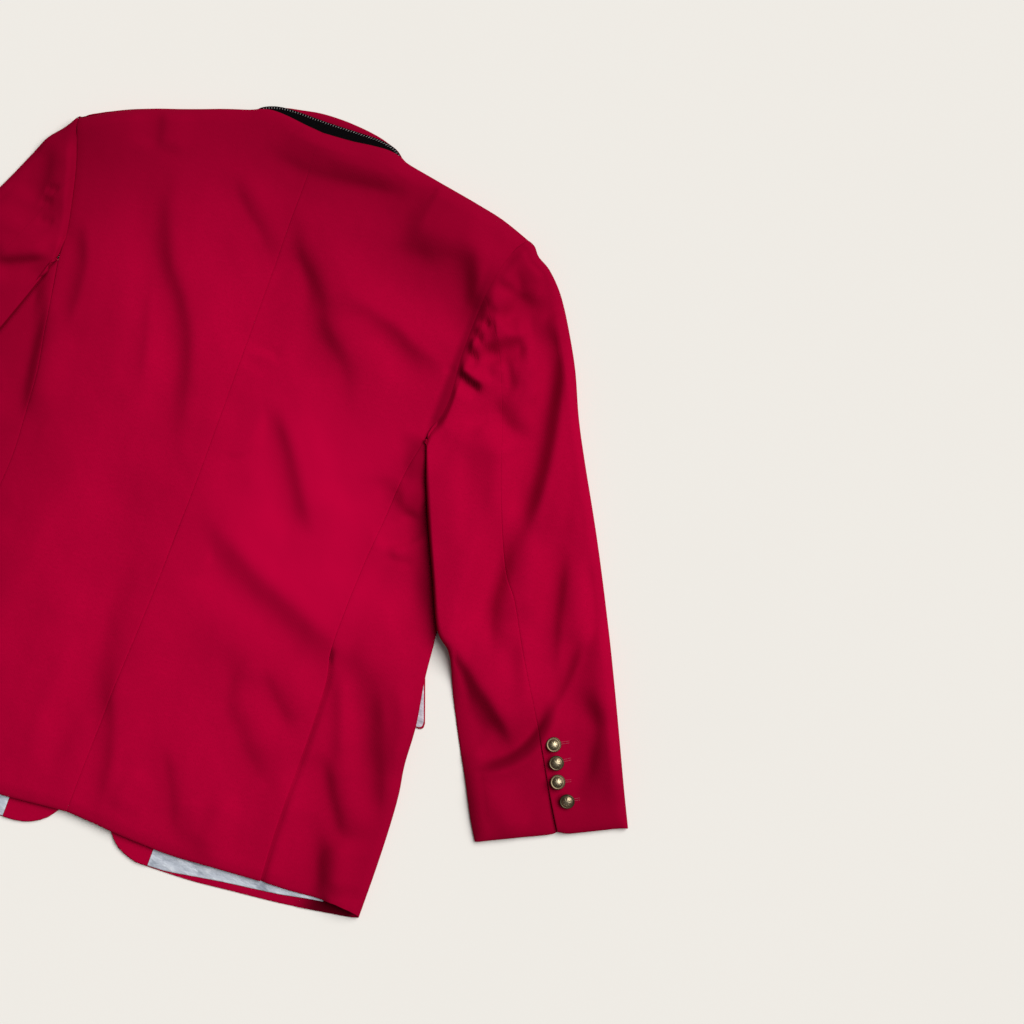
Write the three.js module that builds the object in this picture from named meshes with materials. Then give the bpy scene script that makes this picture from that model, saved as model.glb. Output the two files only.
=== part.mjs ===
// A man's single-breasted wool blazer laid out flat on its front, with its back uppermost.
//
// Millimetres, +Z up, and the surface it lies on is z = 0. +Y runs up the back to the collar, and +X is the
// wearer's right. The origin is on the surface under the centre-back line, at the height of the waist.
//
// Each half is set out from the centre line: "out" is the distance from it, positive on both halves, and a
// half's sign turns it into X. Every piece of cloth is a wall: an outer face worked out from the tables
// below, and an inner face one cloth thickness behind it.

import * as THREE from "three";

// ---------------------------------------------------------------- cloth

const CLOTH = 2; // wool with its canvas and lining
const FELT = 1.5; // under-collar felt
const SATIN = 1; // lining
const SEAM = 0.3; // gap between two pieces that are sewn together
const LAP = CLOTH + SEAM; // rise of a layer that lies on another

// ---------------------------------------------------------------- how high the laid body stands

const LOFT = 13; // top of the back over the surface
const SIDE_LOFT = 11; // top of the cloth at the side fold
const SIDE_SLOPE = 70; // width over which it falls from one to the other
const PAD = { out: 196, y: 300, rise: 9, wide: 62, high: 46 }; // shoulder pad
const SINK = { depth: 6, wide: 30, low: -70, high: 80 }; // side body sinking under the sleeve
const BACK_EDGE = 0.024; // share of the back's height over which its shoulder edge is rounded
const NECK_EDGE = 8.4; // outer face at the neck edge of the back
const SIDE_UNDER = 62; // how far the side body runs back underneath from its fold
const CENTRE_GAP = 0.0008; // share of a back's width left free at its two seams
const VENT = { top: -124, length: 22, underlap: 20, dip: LAP + 1.2, blend: 18 };

// ---------------------------------------------------------------- outlines, in rows of [out, y]

const CENTRE_BACK = [[0, -363.5], [1, -250], [4, -150], [5, -50], [5, 50], [2, 200], [0, 362.5]];

const RIGHT = {
  name: "right",
  sign: 1,
  centre: CENTRE_BACK,
  hem: [[0, -363.5], [30, -365], [60, -367], [110, -368], [160, -364], [206, -360.5]],
  seam: [
    [206, -360.5], [202, -300], [200, -200], [197, -150], [191, -120], [190, -75], [191, -25], [194, 20],
    [197, 70], [202, 100], [206, 122], [212, 145], [212, 170], [209, 200], [208.5, 235], [210, 265],
    [215, 297], [222, 320], [232, 334],
  ],
  shoulder: [[0, 362.5], [30, 365], [50, 368], [68, 369.5], [82, 367.5], [93, 363.5], [140, 356], [170, 351], [200, 345], [232, 334]],
  neckPoint: 93,
  fold: [
    [311, -361], [310, -310], [308, -265], [305, -230], [300, -200], [297, -160], [289, -115], [285, -80],
    [283, -62], [279, 0], [275, 60], [268, 130],
  ],
  sideHem: [[0, -360.5], [0.45, -359], [0.8, -355], [1, -355.5], [2, -364], [3, -372.5]],
  sideTop: [[0, 112], [0.3, 105], [1, 97], [2, 94], [3, 86]],
  frontEdge: [
    [47, -367], [24, -310], [4, -250], [-7, -180], [-8, -100], [-8, 20], [-4, 70], [14, 124], [42, 215],
    [68, 300], [84, 335], [93, 363.5],
  ],
  frontHem: [[47, -367], [60, -380], [80, -387.5], [95, -387.5], [140, -385.5], [180, -381], [220, -376.5], [249, -372.5]],
  hemOn: [[280, -368.5], [300, -365]],
  facingEnd: 94,
  liningEnd: 272,
  lapelRoll: [[14, 124], [42, 215], [68, 300]],
  lapelEdge: [[19, 122], [70, 150], [162, 214]],
  lapelGorge: [[68, 300], [112, 262], [162, 214]],
  sleeveInner: [
    [206, 111], [220, 72], [240, 27], [260, -15], [283, -62], [302, -80], [320, -117], [340, -155],
    [360, -190], [380, -227], [393, -248],
  ],
  sleeveOuter: [
    [232, 334], [245, 323], [261, 314], [280, 295], [300, 265], [320, 230], [340, 187], [360, 150],
    [400, 80], [440, 5], [480, -75], [510, -137], [532, -181],
  ],
  cuff: [[393, -248], [425, -232], [460, -215], [468, -209], [480, -206], [520, -186], [532, -181]],
  elbow: [[0, 0.68], [0.15, 0.6], [0.3, 0.52], [0.45, 0.47], [0.6, 0.47], [0.75, 0.5], [0.88, 0.52], [1, 0.54]],
  buttons: [[432, -128, -8], [441, -144, 5], [449, -161.5, -5], [464.5, -176, 14]],
  flap: { end: 307, low: -162 },
};

const LEFT = {
  name: "left",
  sign: -1,
  centre: CENTRE_BACK.map(([out, y]) => [-out, y]),
  hem: [[0, -363.5], [30, -367], [67, -371], [110, -371], [150, -368], [196, -364]],
  seam: [
    [196, -364], [192, -300], [187, -200], [180, -120], [176, -50], [179, 0], [182, 40], [190, 80],
    [197, 120], [203, 155], [204, 180], [210, 210], [220, 250], [235, 290],
  ],
  shoulder: [[0, 362.5], [20, 364], [40, 366], [55, 366], [66, 363.5], [78, 358.5], [100, 351], [140, 336], [170, 325], [200, 311], [235, 290]],
  neckPoint: 78,
  fold: [
    [306, -365], [305, -310], [300, -230], [292, -160], [285, -115], [279, -62], [273, 0], [268, 60], [262, 150],
  ],
  sideHem: [[0, -364], [0.5, -363], [1, -361], [2, -365], [3, -372]],
  sideTop: [[0, 151], [0.3, 143], [1, 135], [2, 132], [3, 122]],
  frontEdge: [
    [8, -365], [-8, -310], [-22, -250], [-28, -180], [-28, -100], [-28, 20], [-24, 70], [-4, 124],
    [30, 215], [58, 300], [70, 335], [78, 358.5],
  ],
  frontHem: [[8, -365], [20, -380], [40, -390], [70, -392], [110, -388], [160, -382], [210, -376], [244, -372]],
  hemOn: [[275, -369]],
  facingEnd: 59,
  liningEnd: 236,
  lapelRoll: [[-22, 76], [-4, 124], [30, 215], [58, 300]],
  lapelEdge: [[-15, 74], [50, 130], [150, 206]],
  lapelGorge: [[58, 300], [102, 256], [150, 206]],
  sleeveInner: [
    [205, 150], [217, 110], [232, 65], [250, 15], [270, -40], [292, -95], [312, -145], [334, -205], [369, -301],
  ],
  sleeveOuter: [
    [235, 290], [243, 277], [257, 260], [267, 238], [283, 201], [310, 145], [347, 75], [390, -5],
    [430, -85], [468, -160], [508, -236],
  ],
  cuff: [[369, -301], [404, -285], [439, -268], [474, -252], [508, -236]],
  elbow: [[0, 0.6], [0.3, 0.52], [0.6, 0.5], [1, 0.54]],
  buttons: [[410, -184, 4], [418.5, -201, -6], [427, -218, 7], [435.5, -235, -4]],
  flap: { end: 302, low: -163 },
};

const HALVES = [RIGHT, LEFT];

// ---------------------------------------------------------------- sleeves, by the share of their length

const SLEEVE_LOFT = [[0, 8.5], [0.15, 10], [0.4, 12.5], [0.7, 12], [1, 10.5]];
const SLEEVE_ROLL = 1.6; // the sleeve head stands a little over the back at the armhole
const SLEEVE_BLEND = 0.14;
const INSEAM = 0.22; // place of the hidden inner seam across the lower layer
const SLEEVE_CLEAR = 1.5; // clearance over the side body that it lies on
const START = 0.0028; // share of the sleeve's length left free at the armhole
const SLEEVE_LET_DOWN = [9, 40]; // it comes down to the surface between these distances past the body

// ---------------------------------------------------------------- collar, in rows of [x, y]

const COLLAR_OUTER = [
  [-106, 303], [-94, 325], [-82, 346], [-72, 359.5], [-60, 368], [-45, 373.5], [-30, 377], [-10, 380], [10, 381.5],
  [30, 381], [50, 379.5], [65, 376.5], [78, 371.5], [90, 358], [104, 330], [112, 298],
];
const COLLAR_INNER = [[-62, 303], [-58, 325], [-42, 344], [10, 352], [55, 346], [70, 328], [74, 296]];
const FELT_OUTER = [
  [-72, 360.5], [-66, 366], [-56, 371], [-45, 374], [-30, 375.8], [0, 376], [30, 378], [50, 378.4], [62, 377],
  [74, 373.5], [84, 366],
];
const FELT_INNER = [[-50, 346], [-20, 352], [10, 354.5], [40, 353], [66, 349]];
const FELT_RISE = 1.6; // how much higher the felt's neck edge lies than its outer edge

// ---------------------------------------------------------------- hem strips, set in from the hem by [out, distance]

const FACING_IN = [[0, 1], [400, 1]];
const LINING_IN = [[94, 1.2], [115, 2], [150, 6], [200, 8], [230, 9], [260, 11], [300, 13]];

// ---------------------------------------------------------------- flaps and buttons

const FLAP = { length: 150, deep: 54, corner: 7, rake: 20, lining: 60, rim: 1.4 };
const CUFF_BUTTON = { radius: 7.6, height: 4.2 };
const FRONT_BUTTON = { radius: 10, height: 3.6, x: 10, ys: [62, -68] };
const BUTTON_PROFILE = [[0, 0], [0.85, 0.05], [1, 0.34], [0.92, 0.6], [0.5, 0.9], [0, 1]]; // shares [radius, height]
const BUTTON_SIDES = 14;
const BUTTON_STAND = 1.6; // a cuff button stands off the cloth on its shank
const LAPPED_EASE = 1.3; // air between the lapped fronts
const SPREAD = { flat: 20, ramp: 16 }; // cloth stays up this far past what it lies on, then comes down

// ---------------------------------------------------------------- largest folds
// Rows of rise, half width and the [x, y] points of the line where the cloth is steepest. Walking along
// the points, the ridge is on the left hand and the trough on the right.

const FOLD_REACH = 3; // half widths over which the cloth eases back to its level beside a fold
const BODY_FOLDS = [
  [3.0, 15, [-125, 275], [-115, 225], [-95, 180], [-70, 155], [-50, 120], [-35, 80], [-27, 40], [-20, 10]],
  [1.6, 12, [-55, 280], [-40, 255], [-15, 230]],
  [1.4, 13, [-182, 195], [-172, 150], [-170, 105]],
  [1.2, 16, [-14, -75], [-24, -200], [-18, -350]],
  [2.2, 13, [-45, 338], [-20, 328], [10, 325], [50, 330], [98, 337]],
  [3.4, 20, [5, 275], [20, 240], [40, 215], [60, 195], [80, 172], [105, 155], [114, 130]],
  [1.8, 15, [70, 218], [95, 212], [125, 200], [160, 187], [202, 180]],
  [2.4, 24, [105, 300], [150, 300], [185, 285], [203, 262]],
  [2.2, 14, [55, 90], [85, 50], [105, 20], [132, -18]],
  [3.2, 17, [20, -36], [60, -52], [100, -72], [140, -90], [190, -112]],
  [1.6, 15, [98, -150], [112, -195], [135, -225], [165, -250]],
  [1.5, 12, [72, -270], [95, -300], [110, -330]],
  [1.6, 13, [8, -262], [25, -310], [28, -358]],
  [2.2, 14, [212, -135], [230, -180], [244, -225]],
  [2.8, 13, [228, -230], [245, -262], [268, -290]],
  [2.8, 15, [238, -292], [255, -325], [268, -360]],
  [2.4, 12, [262, -130], [277, -178], [288, -225], [294, -245]],
  [-1.6, 13, [-110, -60], [-118, -160], [-132, -260]],
  [1.8, 15, [-150, -100], [-190, -130], [-235, -150]],
  [2.2, 14, [-212, -190], [-232, -250], [-262, -340]],
];

const SLEEVE_FOLDS = {
  right: [
    [4.2, 15, [304, 250], [315, 200], [323, 160], [330, 120], [332, 80], [327, 45], [322, 15], [326, -20], [336, -48]],
    [2.4, 12, [378, 35], [387, 0], [399, -30], [408, -58]],
    [3.2, 13, [421, -30], [421, -80], [412, -120], [395, -153], [370, -172]],
    [3.6, 13, [306, -82], [335, -100], [360, -115], [386, -142]],
    [2.2, 13, [436, -30], [455, -80], [475, -110], [484, -136]],
    [2.4, 12, [212, 188], [232, 180], [250, 170]],
    [2.2, 13, [225, 232], [255, 238], [282, 225]],
    [-2.0, 14, [262, 205], [285, 175], [275, 140]],
  ],
  left: [
    [2.6, 12, [-248, 262], [-240, 225], [-238, 190]],
    [2.4, 11, [-262, 128], [-235, 138], [-204, 152]],
    [3.0, 14, [-300, 90], [-330, 10], [-352, -70]],
    [2.6, 13, [-300, -110], [-335, -135], [-372, -150]],
    [2.2, 13, [-395, -60], [-425, -130], [-430, -190]],
  ],
};

// ---------------------------------------------------------------- colours

const wool = new THREE.MeshStandardMaterial({ color: 0xa5003a, roughness: 0.85, metalness: 0 });
const felt = new THREE.MeshStandardMaterial({ color: 0x111014, roughness: 0.95, metalness: 0 });
const satin = new THREE.MeshStandardMaterial({ color: 0xb9bfca, roughness: 0.4, metalness: 0 });
const flapSatin = new THREE.MeshStandardMaterial({ color: 0xb3a9b4, roughness: 0.45, metalness: 0 });
const brass = new THREE.MeshStandardMaterial({ color: 0x8a7440, roughness: 0.4, metalness: 0.9 });

// ---------------------------------------------------------------- curves and ramps

const clamp = THREE.MathUtils.clamp;
const lerp = THREE.MathUtils.lerp;
const ease = (x, from, to) => THREE.MathUtils.smoothstep(x, from, to);

/** A smooth line through rows of [x, y]. */
function line(rows) {
  return new THREE.SplineCurve(rows.map(([x, y]) => new THREE.Vector2(x, y)));
}

/** The value in the second column of a short table, on straight lines between its rows, at a place in the first. */
function reading(rows, at) {
  const last = rows.length - 1;
  const next = rows.findIndex(([place]) => place >= at);
  if (next <= 0) return next === 0 ? rows[0][1] : rows[last][1];
  const [from, to] = [rows[next - 1], rows[next]];
  return lerp(from[1], to[1], (at - from[0]) / (to[0] - from[0]));
}

/** How far out a line is at a height y; the line runs up or down without turning back. */
function outAt(samples, y) {
  const rising = samples[0].y < samples[samples.length - 1].y;
  const index = samples.findIndex((point) => (rising ? point.y >= y : point.y <= y));
  if (index <= 0) return index === 0 ? samples[0].x : samples[samples.length - 1].x;
  const [a, b] = [samples[index - 1], samples[index]];
  return lerp(a.x, b.x, (y - a.y) / (b.y - a.y));
}

/** Evenly spaced numbers from one value to another, both ends included. */
function steps(from, to, count) {
  return Array.from({ length: count + 1 }, (_, index) => lerp(from, to, index / count));
}

/** A surface patch between four lines: left and right run up, bottom and top run from left to right. */
function patchBetween({ left, right, bottom, top }) {
  const corners = [left.getPointAt(0), right.getPointAt(0), left.getPointAt(1), right.getPointAt(1)];
  return (across, up) => {
    const [l, r] = [left.getPointAt(up), right.getPointAt(up)];
    const [b, t] = [bottom.getPointAt(across), top.getPointAt(across)];
    const blend = (key) =>
      lerp(l[key], r[key], across) + lerp(b[key], t[key], up) -
      lerp(lerp(corners[0][key], corners[1][key], across), lerp(corners[2][key], corners[3][key], across), up);
    return new THREE.Vector2(blend("x"), blend("y"));
  };
}

/** How far a point lies outside a closed outline, or 0 inside it. */
function outside(outline, x, y) {
  let inside = false;
  let nearest = Infinity;
  for (let i = 0, j = outline.length - 1; i < outline.length; j = i, i += 1) {
    const [a, b] = [outline[i], outline[j]];
    if (a.y > y !== b.y > y && x < ((b.x - a.x) * (y - a.y)) / (b.y - a.y) + a.x) inside = !inside;
    const [dx, dy] = [b.x - a.x, b.y - a.y];
    const share = clamp(((x - a.x) * dx + (y - a.y) * dy) / (dx * dx + dy * dy || 1), 0, 1);
    nearest = Math.min(nearest, Math.hypot(x - a.x - share * dx, y - a.y - share * dy));
  }
  return inside ? 0 : nearest;
}

/** The rise that one fold gives the cloth at a point. */
function foldRise([height, width, ...spine], x, y) {
  let nearest = Infinity;
  let signed = 0;
  let along = 0;
  let length = 0;
  for (let index = 1; index < spine.length; index += 1) {
    const [[ax, ay], [bx, by]] = [spine[index - 1], spine[index]];
    const [dx, dy] = [bx - ax, by - ay];
    const step = Math.hypot(dx, dy);
    const share = clamp(((x - ax) * dx + (y - ay) * dy) / (step * step), 0, 1);
    const distance = Math.hypot(x - ax - share * dx, y - ay - share * dy);
    if (distance < nearest) {
      nearest = distance;
      signed = Math.sign(dx * (y - ay) - dy * (x - ax)) * distance;
      along = length + share * step;
    }
    length += step;
  }
  const fade = ease(Math.min(along, length - along), 0, 0.3 * length);
  const q = signed / width;
  return (1.3 * height * fade * q * Math.exp(-Math.abs(q) / FOLD_REACH)) / Math.sqrt(1 + q * q);
}

const foldsAt = (folds, x, y) => folds.reduce((sum, fold) => sum + foldRise(fold, x, y), 0);

// ---------------------------------------------------------------- walls

/**
 * A closed wall of cloth. surface(u, v) gives a point of its outer face, which is seen with u running
 * right and v running up. us and vs are the places where the wall has its rows of points. The wall of a
 * left-hand piece is built in mirror image.
 */
function wall(name, material, surface, us, vs, { thickness = CLOTH, sign = 1 } = {}) {
  const tiny = 1e-3;
  const [uEnds, vEnds] = [us, vs].map((places) => [Math.min(...places), Math.max(...places)]);
  const outer = [];
  const inner = [];
  for (const v of vs) {
    for (const u of us) {
      const point = surface(u, v);
      const alongU = surface(clamp(u + tiny, ...uEnds), v).sub(surface(clamp(u - tiny, ...uEnds), v));
      const alongV = surface(u, clamp(v + tiny, ...vEnds)).sub(surface(u, clamp(v - tiny, ...vEnds)));
      const normal = alongU.cross(alongV).normalize();
      outer.push(point);
      inner.push(point.clone().addScaledVector(normal, -thickness));
    }
  }
  const points = [...outer, ...inner];
  const positions = points.flatMap(({ x, y, z }) => [sign * x, y, z]);
  const across = us.length;
  const faces = [];
  const quad = (a, b, c, d) => faces.push(a, b, c, a, c, d);
  const at = (column, row, face) => face * outer.length + row * across + column;
  for (let row = 0; row < vs.length - 1; row += 1) {
    for (let column = 0; column < across - 1; column += 1) {
      quad(at(column, row, 0), at(column + 1, row, 0), at(column + 1, row + 1, 0), at(column, row + 1, 0));
      quad(at(column, row, 1), at(column, row + 1, 1), at(column + 1, row + 1, 1), at(column + 1, row, 1));
    }
    quad(at(0, row, 1), at(0, row, 0), at(0, row + 1, 0), at(0, row + 1, 1));
    const end = across - 1;
    quad(at(end, row, 0), at(end, row, 1), at(end, row + 1, 1), at(end, row + 1, 0));
  }
  for (let column = 0; column < across - 1; column += 1) {
    quad(at(column, 0, 1), at(column + 1, 0, 1), at(column + 1, 0, 0), at(column, 0, 0));
    const end = vs.length - 1;
    quad(at(column, end, 0), at(column + 1, end, 0), at(column + 1, end, 1), at(column, end, 1));
  }
  if (sign < 0) faces.reverse();
  const geometry = new THREE.BufferGeometry();
  geometry.setAttribute("position", new THREE.Float32BufferAttribute(positions, 3));
  geometry.setIndex(faces);
  geometry.computeVertexNormals();
  return named(name, geometry, material);
}

function named(name, geometry, material) {
  const mesh = new THREE.Mesh(geometry, material);
  mesh.name = name;
  return mesh;
}

// ---------------------------------------------------------------- one half of the body

for (const half of HALVES) {
  half.seamLine = line(half.seam);
  half.seamSamples = half.seamLine.getSpacedPoints(400);
  half.foldSamples = line(half.fold).getSpacedPoints(200);
}

/** The outer face of the laid upper layer, in front of any rounding at its edges. */
function bodyTop(half, out, y) {
  const inward = outAt(half.foldSamples, y) - out;
  const loft = lerp(SIDE_LOFT, LOFT, ease(inward, 0, SIDE_SLOPE));
  const pad = PAD.rise * Math.exp(-(((out - PAD.out) / PAD.wide) ** 2) - ((y - PAD.y) / PAD.high) ** 2);
  return loft + pad + foldsAt(BODY_FOLDS, half.sign * out, y);
}

/** The outer face of the side body, which sinks where the sleeve lies on it and dips into its vent. */
function sideTopFace(half, out, y) {
  const past = out - outAt(half.seamSamples, Math.min(y, half.sideTop[0][1]));
  const sink = SINK.depth * ease(past, 0, SINK.wide) * ease(y, SINK.low, SINK.high);
  const dip = VENT.dip * ease(VENT.top + 2 * VENT.length - y, 0, VENT.length) * (1 - ease(past, 1, VENT.blend));
  return bodyTop(half, out, y) - sink - dip;
}

/** How much the fronts are lifted by what lies under them. */
function frontLift(half, out, y) {
  const x = half.sign * out;
  const lifts = LAID_UNDER.map(({ outline, height }) => {
    return height * (1 - ease(outside(outline, x, y), SPREAD.flat, SPREAD.flat + SPREAD.ramp));
  });
  const lift = Math.max(0, ...lifts);
  if (half === LEFT) return lift;
  const lapped = 1 - ease(outside(OVERLAP, x, y), SPREAD.flat, SPREAD.flat + SPREAD.ramp);
  return Math.max(lift, lapped * (frontLift(LEFT, -x, y) + LAP + LAPPED_EASE));
}

function rectangle(x0, x1, y0, y1) {
  return [[x0, y0], [x1, y0], [x1, y1], [x0, y1]].map(([x, y]) => new THREE.Vector2(x, y));
}

function flapOutline(half, margin = 0) {
  const { end, low } = half.flap;
  const [x0, x1] = [half.sign * (end - FLAP.length - margin), half.sign * (end + margin)];
  return rectangle(Math.min(x0, x1), Math.max(x0, x1), low - margin, low + FLAP.deep + margin);
}

/** The lapel's outline in x and y: up its roll line, down the gorge and back along its edge. */
function lapelOutline(half) {
  const flip = (rows) => rows.map(([out, y]) => [half.sign * out, y]);
  const up = line(flip(half.lapelRoll)).getSpacedPoints(8);
  const gorge = line(flip(half.lapelGorge)).getSpacedPoints(4);
  const back = line(flip(half.lapelEdge)).getSpacedPoints(6).reverse();
  return [...up, ...gorge, ...back];
}

const collarOutline = [
  ...line(COLLAR_OUTER).getSpacedPoints(24),
  ...line(COLLAR_INNER).getSpacedPoints(18).reverse(),
];

const FLAP_STACK = CLOTH + SEAM + SATIN + SEAM;
const LAID_UNDER = [
  { outline: collarOutline, height: LAP },
  ...HALVES.map((half) => ({ outline: lapelOutline(half), height: LAP })),
  ...HALVES.map((half) => ({ outline: flapOutline(half), height: FLAP_STACK })),
  ...FRONT_BUTTON.ys.map((y) => {
    const { x, radius, height } = FRONT_BUTTON;
    return { outline: rectangle(x - radius, x + radius, y - radius, y + radius), height: height + SEAM };
  }),
];
const OVERLAP = rectangle(-8, 28, -262, 110);

function buildBack(half) {
  const patch = patchBetween({
    left: line(half.centre),
    right: half.seamLine,
    bottom: line(half.hem),
    top: line(half.shoulder),
  });
  const surface = (u, v) => {
    const { x: out, y } = patch(u, v);
    const fromTop = clamp((1 - v) / BACK_EDGE, 0, 1);
    const round = Math.sqrt(1 - (1 - fromTop) ** 2);
    const shoulderRim = frontLift(half, out, y) + LAP + 2 * SEAM;
    const rim = lerp(NECK_EDGE, shoulderRim, ease(out, half.neckPoint - 22, half.neckPoint));
    return new THREE.Vector3(out, y, lerp(rim, bodyTop(half, out, y), round));
  };
  const us = steps(CENTRE_GAP, 1 - 2 * CENTRE_GAP, 12);
  const vs = [...steps(0, 1 - BACK_EDGE, 24), ...[0.5, 0.18, 0.04, 0].map((share) => 1 - share * BACK_EDGE)];
  return wall(`back_${half.name}`, wool, surface, us, vs, { sign: half.sign });
}

const SIDE_ROWS = [-335, -305, -275, -245, -215, -185, -160, -140, -127, -102, -70, -35, 0, 40, 75]; // heights y

/** The side body: u is 0 to 1 over the top, to 2 round the side fold and to 3 back underneath. */
function buildSide(half) {
  const surface = (u, v) => {
    const y = lerp(reading(half.sideHem, u), reading(half.sideTop, u), v);
    const fold = outAt(half.foldSamples, y);
    const below = ease(VENT.top - 4 - y, 0, VENT.length);
    const start = outAt(half.seamSamples, y) + SEAM - VENT.underlap * below;
    const bottom = frontLift(half, fold, y);
    const radius = (sideTopFace(half, fold - SIDE_LOFT / 2, y) - bottom) / 2;
    const turn = fold - radius;
    if (u <= 1) {
      const out = lerp(start, turn, u);
      return new THREE.Vector3(out, y, sideTopFace(half, out, y));
    }
    if (u <= 2) {
      const angle = Math.PI * (u - 1);
      const blend = lerp(sideTopFace(half, turn, y), bottom + 2 * radius, ease(u, 1, 1.4));
      const rise = Math.cos(angle) * radius;
      const z = bottom + radius + rise + (u < 1.5 ? (blend - bottom - 2 * radius) * Math.cos(angle) : 0);
      return new THREE.Vector3(turn + Math.sin(angle) * radius, y, z);
    }
    const out = lerp(turn, fold - SIDE_UNDER, u - 2);
    return new THREE.Vector3(out, y, frontLift(half, out, y));
  };
  const us = [0, 0.1, 0.22, 0.38, 0.54, 0.7, 0.86, 1, 1.22, 1.44, 1.66, 1.84, 2, 2.5, 3];
  const [low, high] = [half.sideHem[0][1], half.sideTop[0][1]];
  const vs = [0, ...SIDE_ROWS.map((y) => (y - low) / (high - low)), 1];
  return wall(`side_${half.name}`, wool, surface, us, vs, { sign: half.sign });
}

function buildFront(half) {
  const seam = half.seamSamples.filter((point) => point.y > half.sideTop[0][1] + 4);
  const under = half.foldSamples
    .filter((point) => point.y < half.sideTop[0][1] - 8)
    .map((point) => new THREE.Vector2(point.x - SIDE_UNDER - SEAM, point.y));
  const every = (list, step) => list.filter((_, index) => index % step === 0);
  const start = half.frontHem[half.frontHem.length - 1];
  const right = [new THREE.Vector2(start[0] - SEAM, start[1]), ...every(under, 16).slice(1), ...every(seam, 12)];
  right.push(seam[seam.length - 1]);
  const patch = patchBetween({
    left: line(half.frontEdge),
    right: new THREE.SplineCurve(right),
    bottom: line(half.frontHem),
    top: line(half.shoulder.filter(([out]) => out >= half.neckPoint)),
  });
  const surface = (u, v) => {
    const { x: out, y } = patch(u, v);
    return new THREE.Vector3(out, y, frontLift(half, out, y) + CLOTH);
  };
  const us = [0, 0.05, 0.12, 0.2, 0.31, 0.44, 0.58, 0.72, 0.86, 0.996];
  const vs = [...steps(0, 0.36, 10), ...steps(0.38, 0.64, 13), ...steps(0.67, 0.999, 11)];
  return wall(`front_${half.name}`, wool, surface, us, vs, { sign: half.sign });
}

/** A strip along the inside of the hem, from one place out to another and some way up. */
function buildHemStrip(half, name, material, { from, to, thickness, rise, setIn, tall }) {
  const hem = line([...half.frontHem, ...half.hemOn]).getSpacedPoints(200);
  const edge = line(half.frontEdge).getSpacedPoints(200);
  const hemAt = (out) => {
    const index = hem.findIndex((point) => point.x >= out);
    return hem[Math.max(index, 0)].y;
  };
  const surface = (u, v) => {
    const out = lerp(from, to, u);
    const y = hemAt(out) + reading(setIn, out) + v * tall;
    const bound = Math.max(out, outAt(edge, y) + 1 - u);
    return new THREE.Vector3(bound, y, frontLift(half, bound, y) + CLOTH + SEAM + thickness + rise * Math.sin(Math.PI * v));
  };
  return wall(`${name}_${half.name}`, material, surface, steps(0, 1, 8), steps(0, 1, 4), {
    thickness,
    sign: half.sign,
  });
}

function buildLapel(half) {
  const roll = line(half.lapelRoll);
  const edge = line(half.lapelEdge);
  const patch = patchBetween({
    left: roll,
    right: edge,
    bottom: new THREE.LineCurve(roll.getPoint(0), edge.getPoint(0)),
    top: line(half.lapelGorge),
  });
  const surface = (u, v) => {
    const { x: out, y } = patch(u, v);
    return new THREE.Vector3(out, y, CLOTH);
  };
  return wall(`lapel_${half.name}`, wool, surface, steps(0, 1, 5), steps(0, 1, 8), { sign: half.sign });
}

// ---------------------------------------------------------------- collar

function buildCollar() {
  const [inner, outer] = [line(COLLAR_INNER), line(COLLAR_OUTER)];
  const patch = patchBetween({
    left: new THREE.LineCurve(inner.getPoint(0), outer.getPoint(0)),
    right: new THREE.LineCurve(inner.getPoint(1), outer.getPoint(1)),
    bottom: inner,
    top: outer,
  });
  const surface = (u, v) => {
    const { x, y } = patch(u, v);
    return new THREE.Vector3(x, y, CLOTH);
  };
  return wall("top_collar", wool, surface, steps(0, 1, 26), steps(0, 1, 3));
}

function buildUnderCollar() {
  const [inner, outer] = [line(FELT_INNER), line(FELT_OUTER)];
  const patch = patchBetween({
    left: new THREE.LineCurve(inner.getPoint(0), outer.getPoint(0)),
    right: new THREE.LineCurve(inner.getPoint(1), outer.getPoint(1)),
    bottom: inner,
    top: outer,
  });
  const surface = (u, v) => {
    const { x, y } = patch(u, v);
    return new THREE.Vector3(x, y, LAP + FELT + FELT_RISE * (1 - v));
  };
  return wall("under_collar", felt, surface, steps(0, 1, 18), steps(0, 1, 3), { thickness: FELT });
}

// ---------------------------------------------------------------- sleeves

/** The height of what the sleeve lies on: the side body, then down to the surface past it. */
function sleeveBed(half, out, y) {
  const past = Math.max(out - outAt(half.foldSamples, y), y - half.sideTop[0][1]);
  return (sideTopFace(half, out, y) + SLEEVE_CLEAR) * (1 - ease(past, ...SLEEVE_LET_DOWN));
}

/** The two sleeve pieces are rings of the same section, cut at the elbow seam and at the inner seam. */
function sleeveSection(half) {
  const inner = line(half.sleeveInner);
  const outer = line(half.sleeveOuter);
  const armhole = line(half.seam.filter(([, y]) => y > half.sleeveInner[0][1] + 5));
  armhole.points.unshift(inner.getPoint(0));
  const patch = patchBetween({ left: inner, right: outer, bottom: armhole, top: line(half.cuff) });
  const top = (out, y, along) => {
    const pad = PAD.rise * Math.exp(-(((out - PAD.out) / PAD.wide) ** 2) - ((y - PAD.y) / PAD.high) ** 2);
    const folds = foldsAt(SLEEVE_FOLDS[half.name], half.sign * out, y);
    const laid = sleeveBed(half, out, y) + reading(SLEEVE_LOFT, along) + pad + folds;
    const seam = Math.max(bodyTop(half, out, y) + SLEEVE_ROLL, sleeveBed(half, out, y) + 2 * LAP);
    return lerp(seam, laid, ease(along, 0, SLEEVE_BLEND));
  };
  return { top, patch };
}

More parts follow.
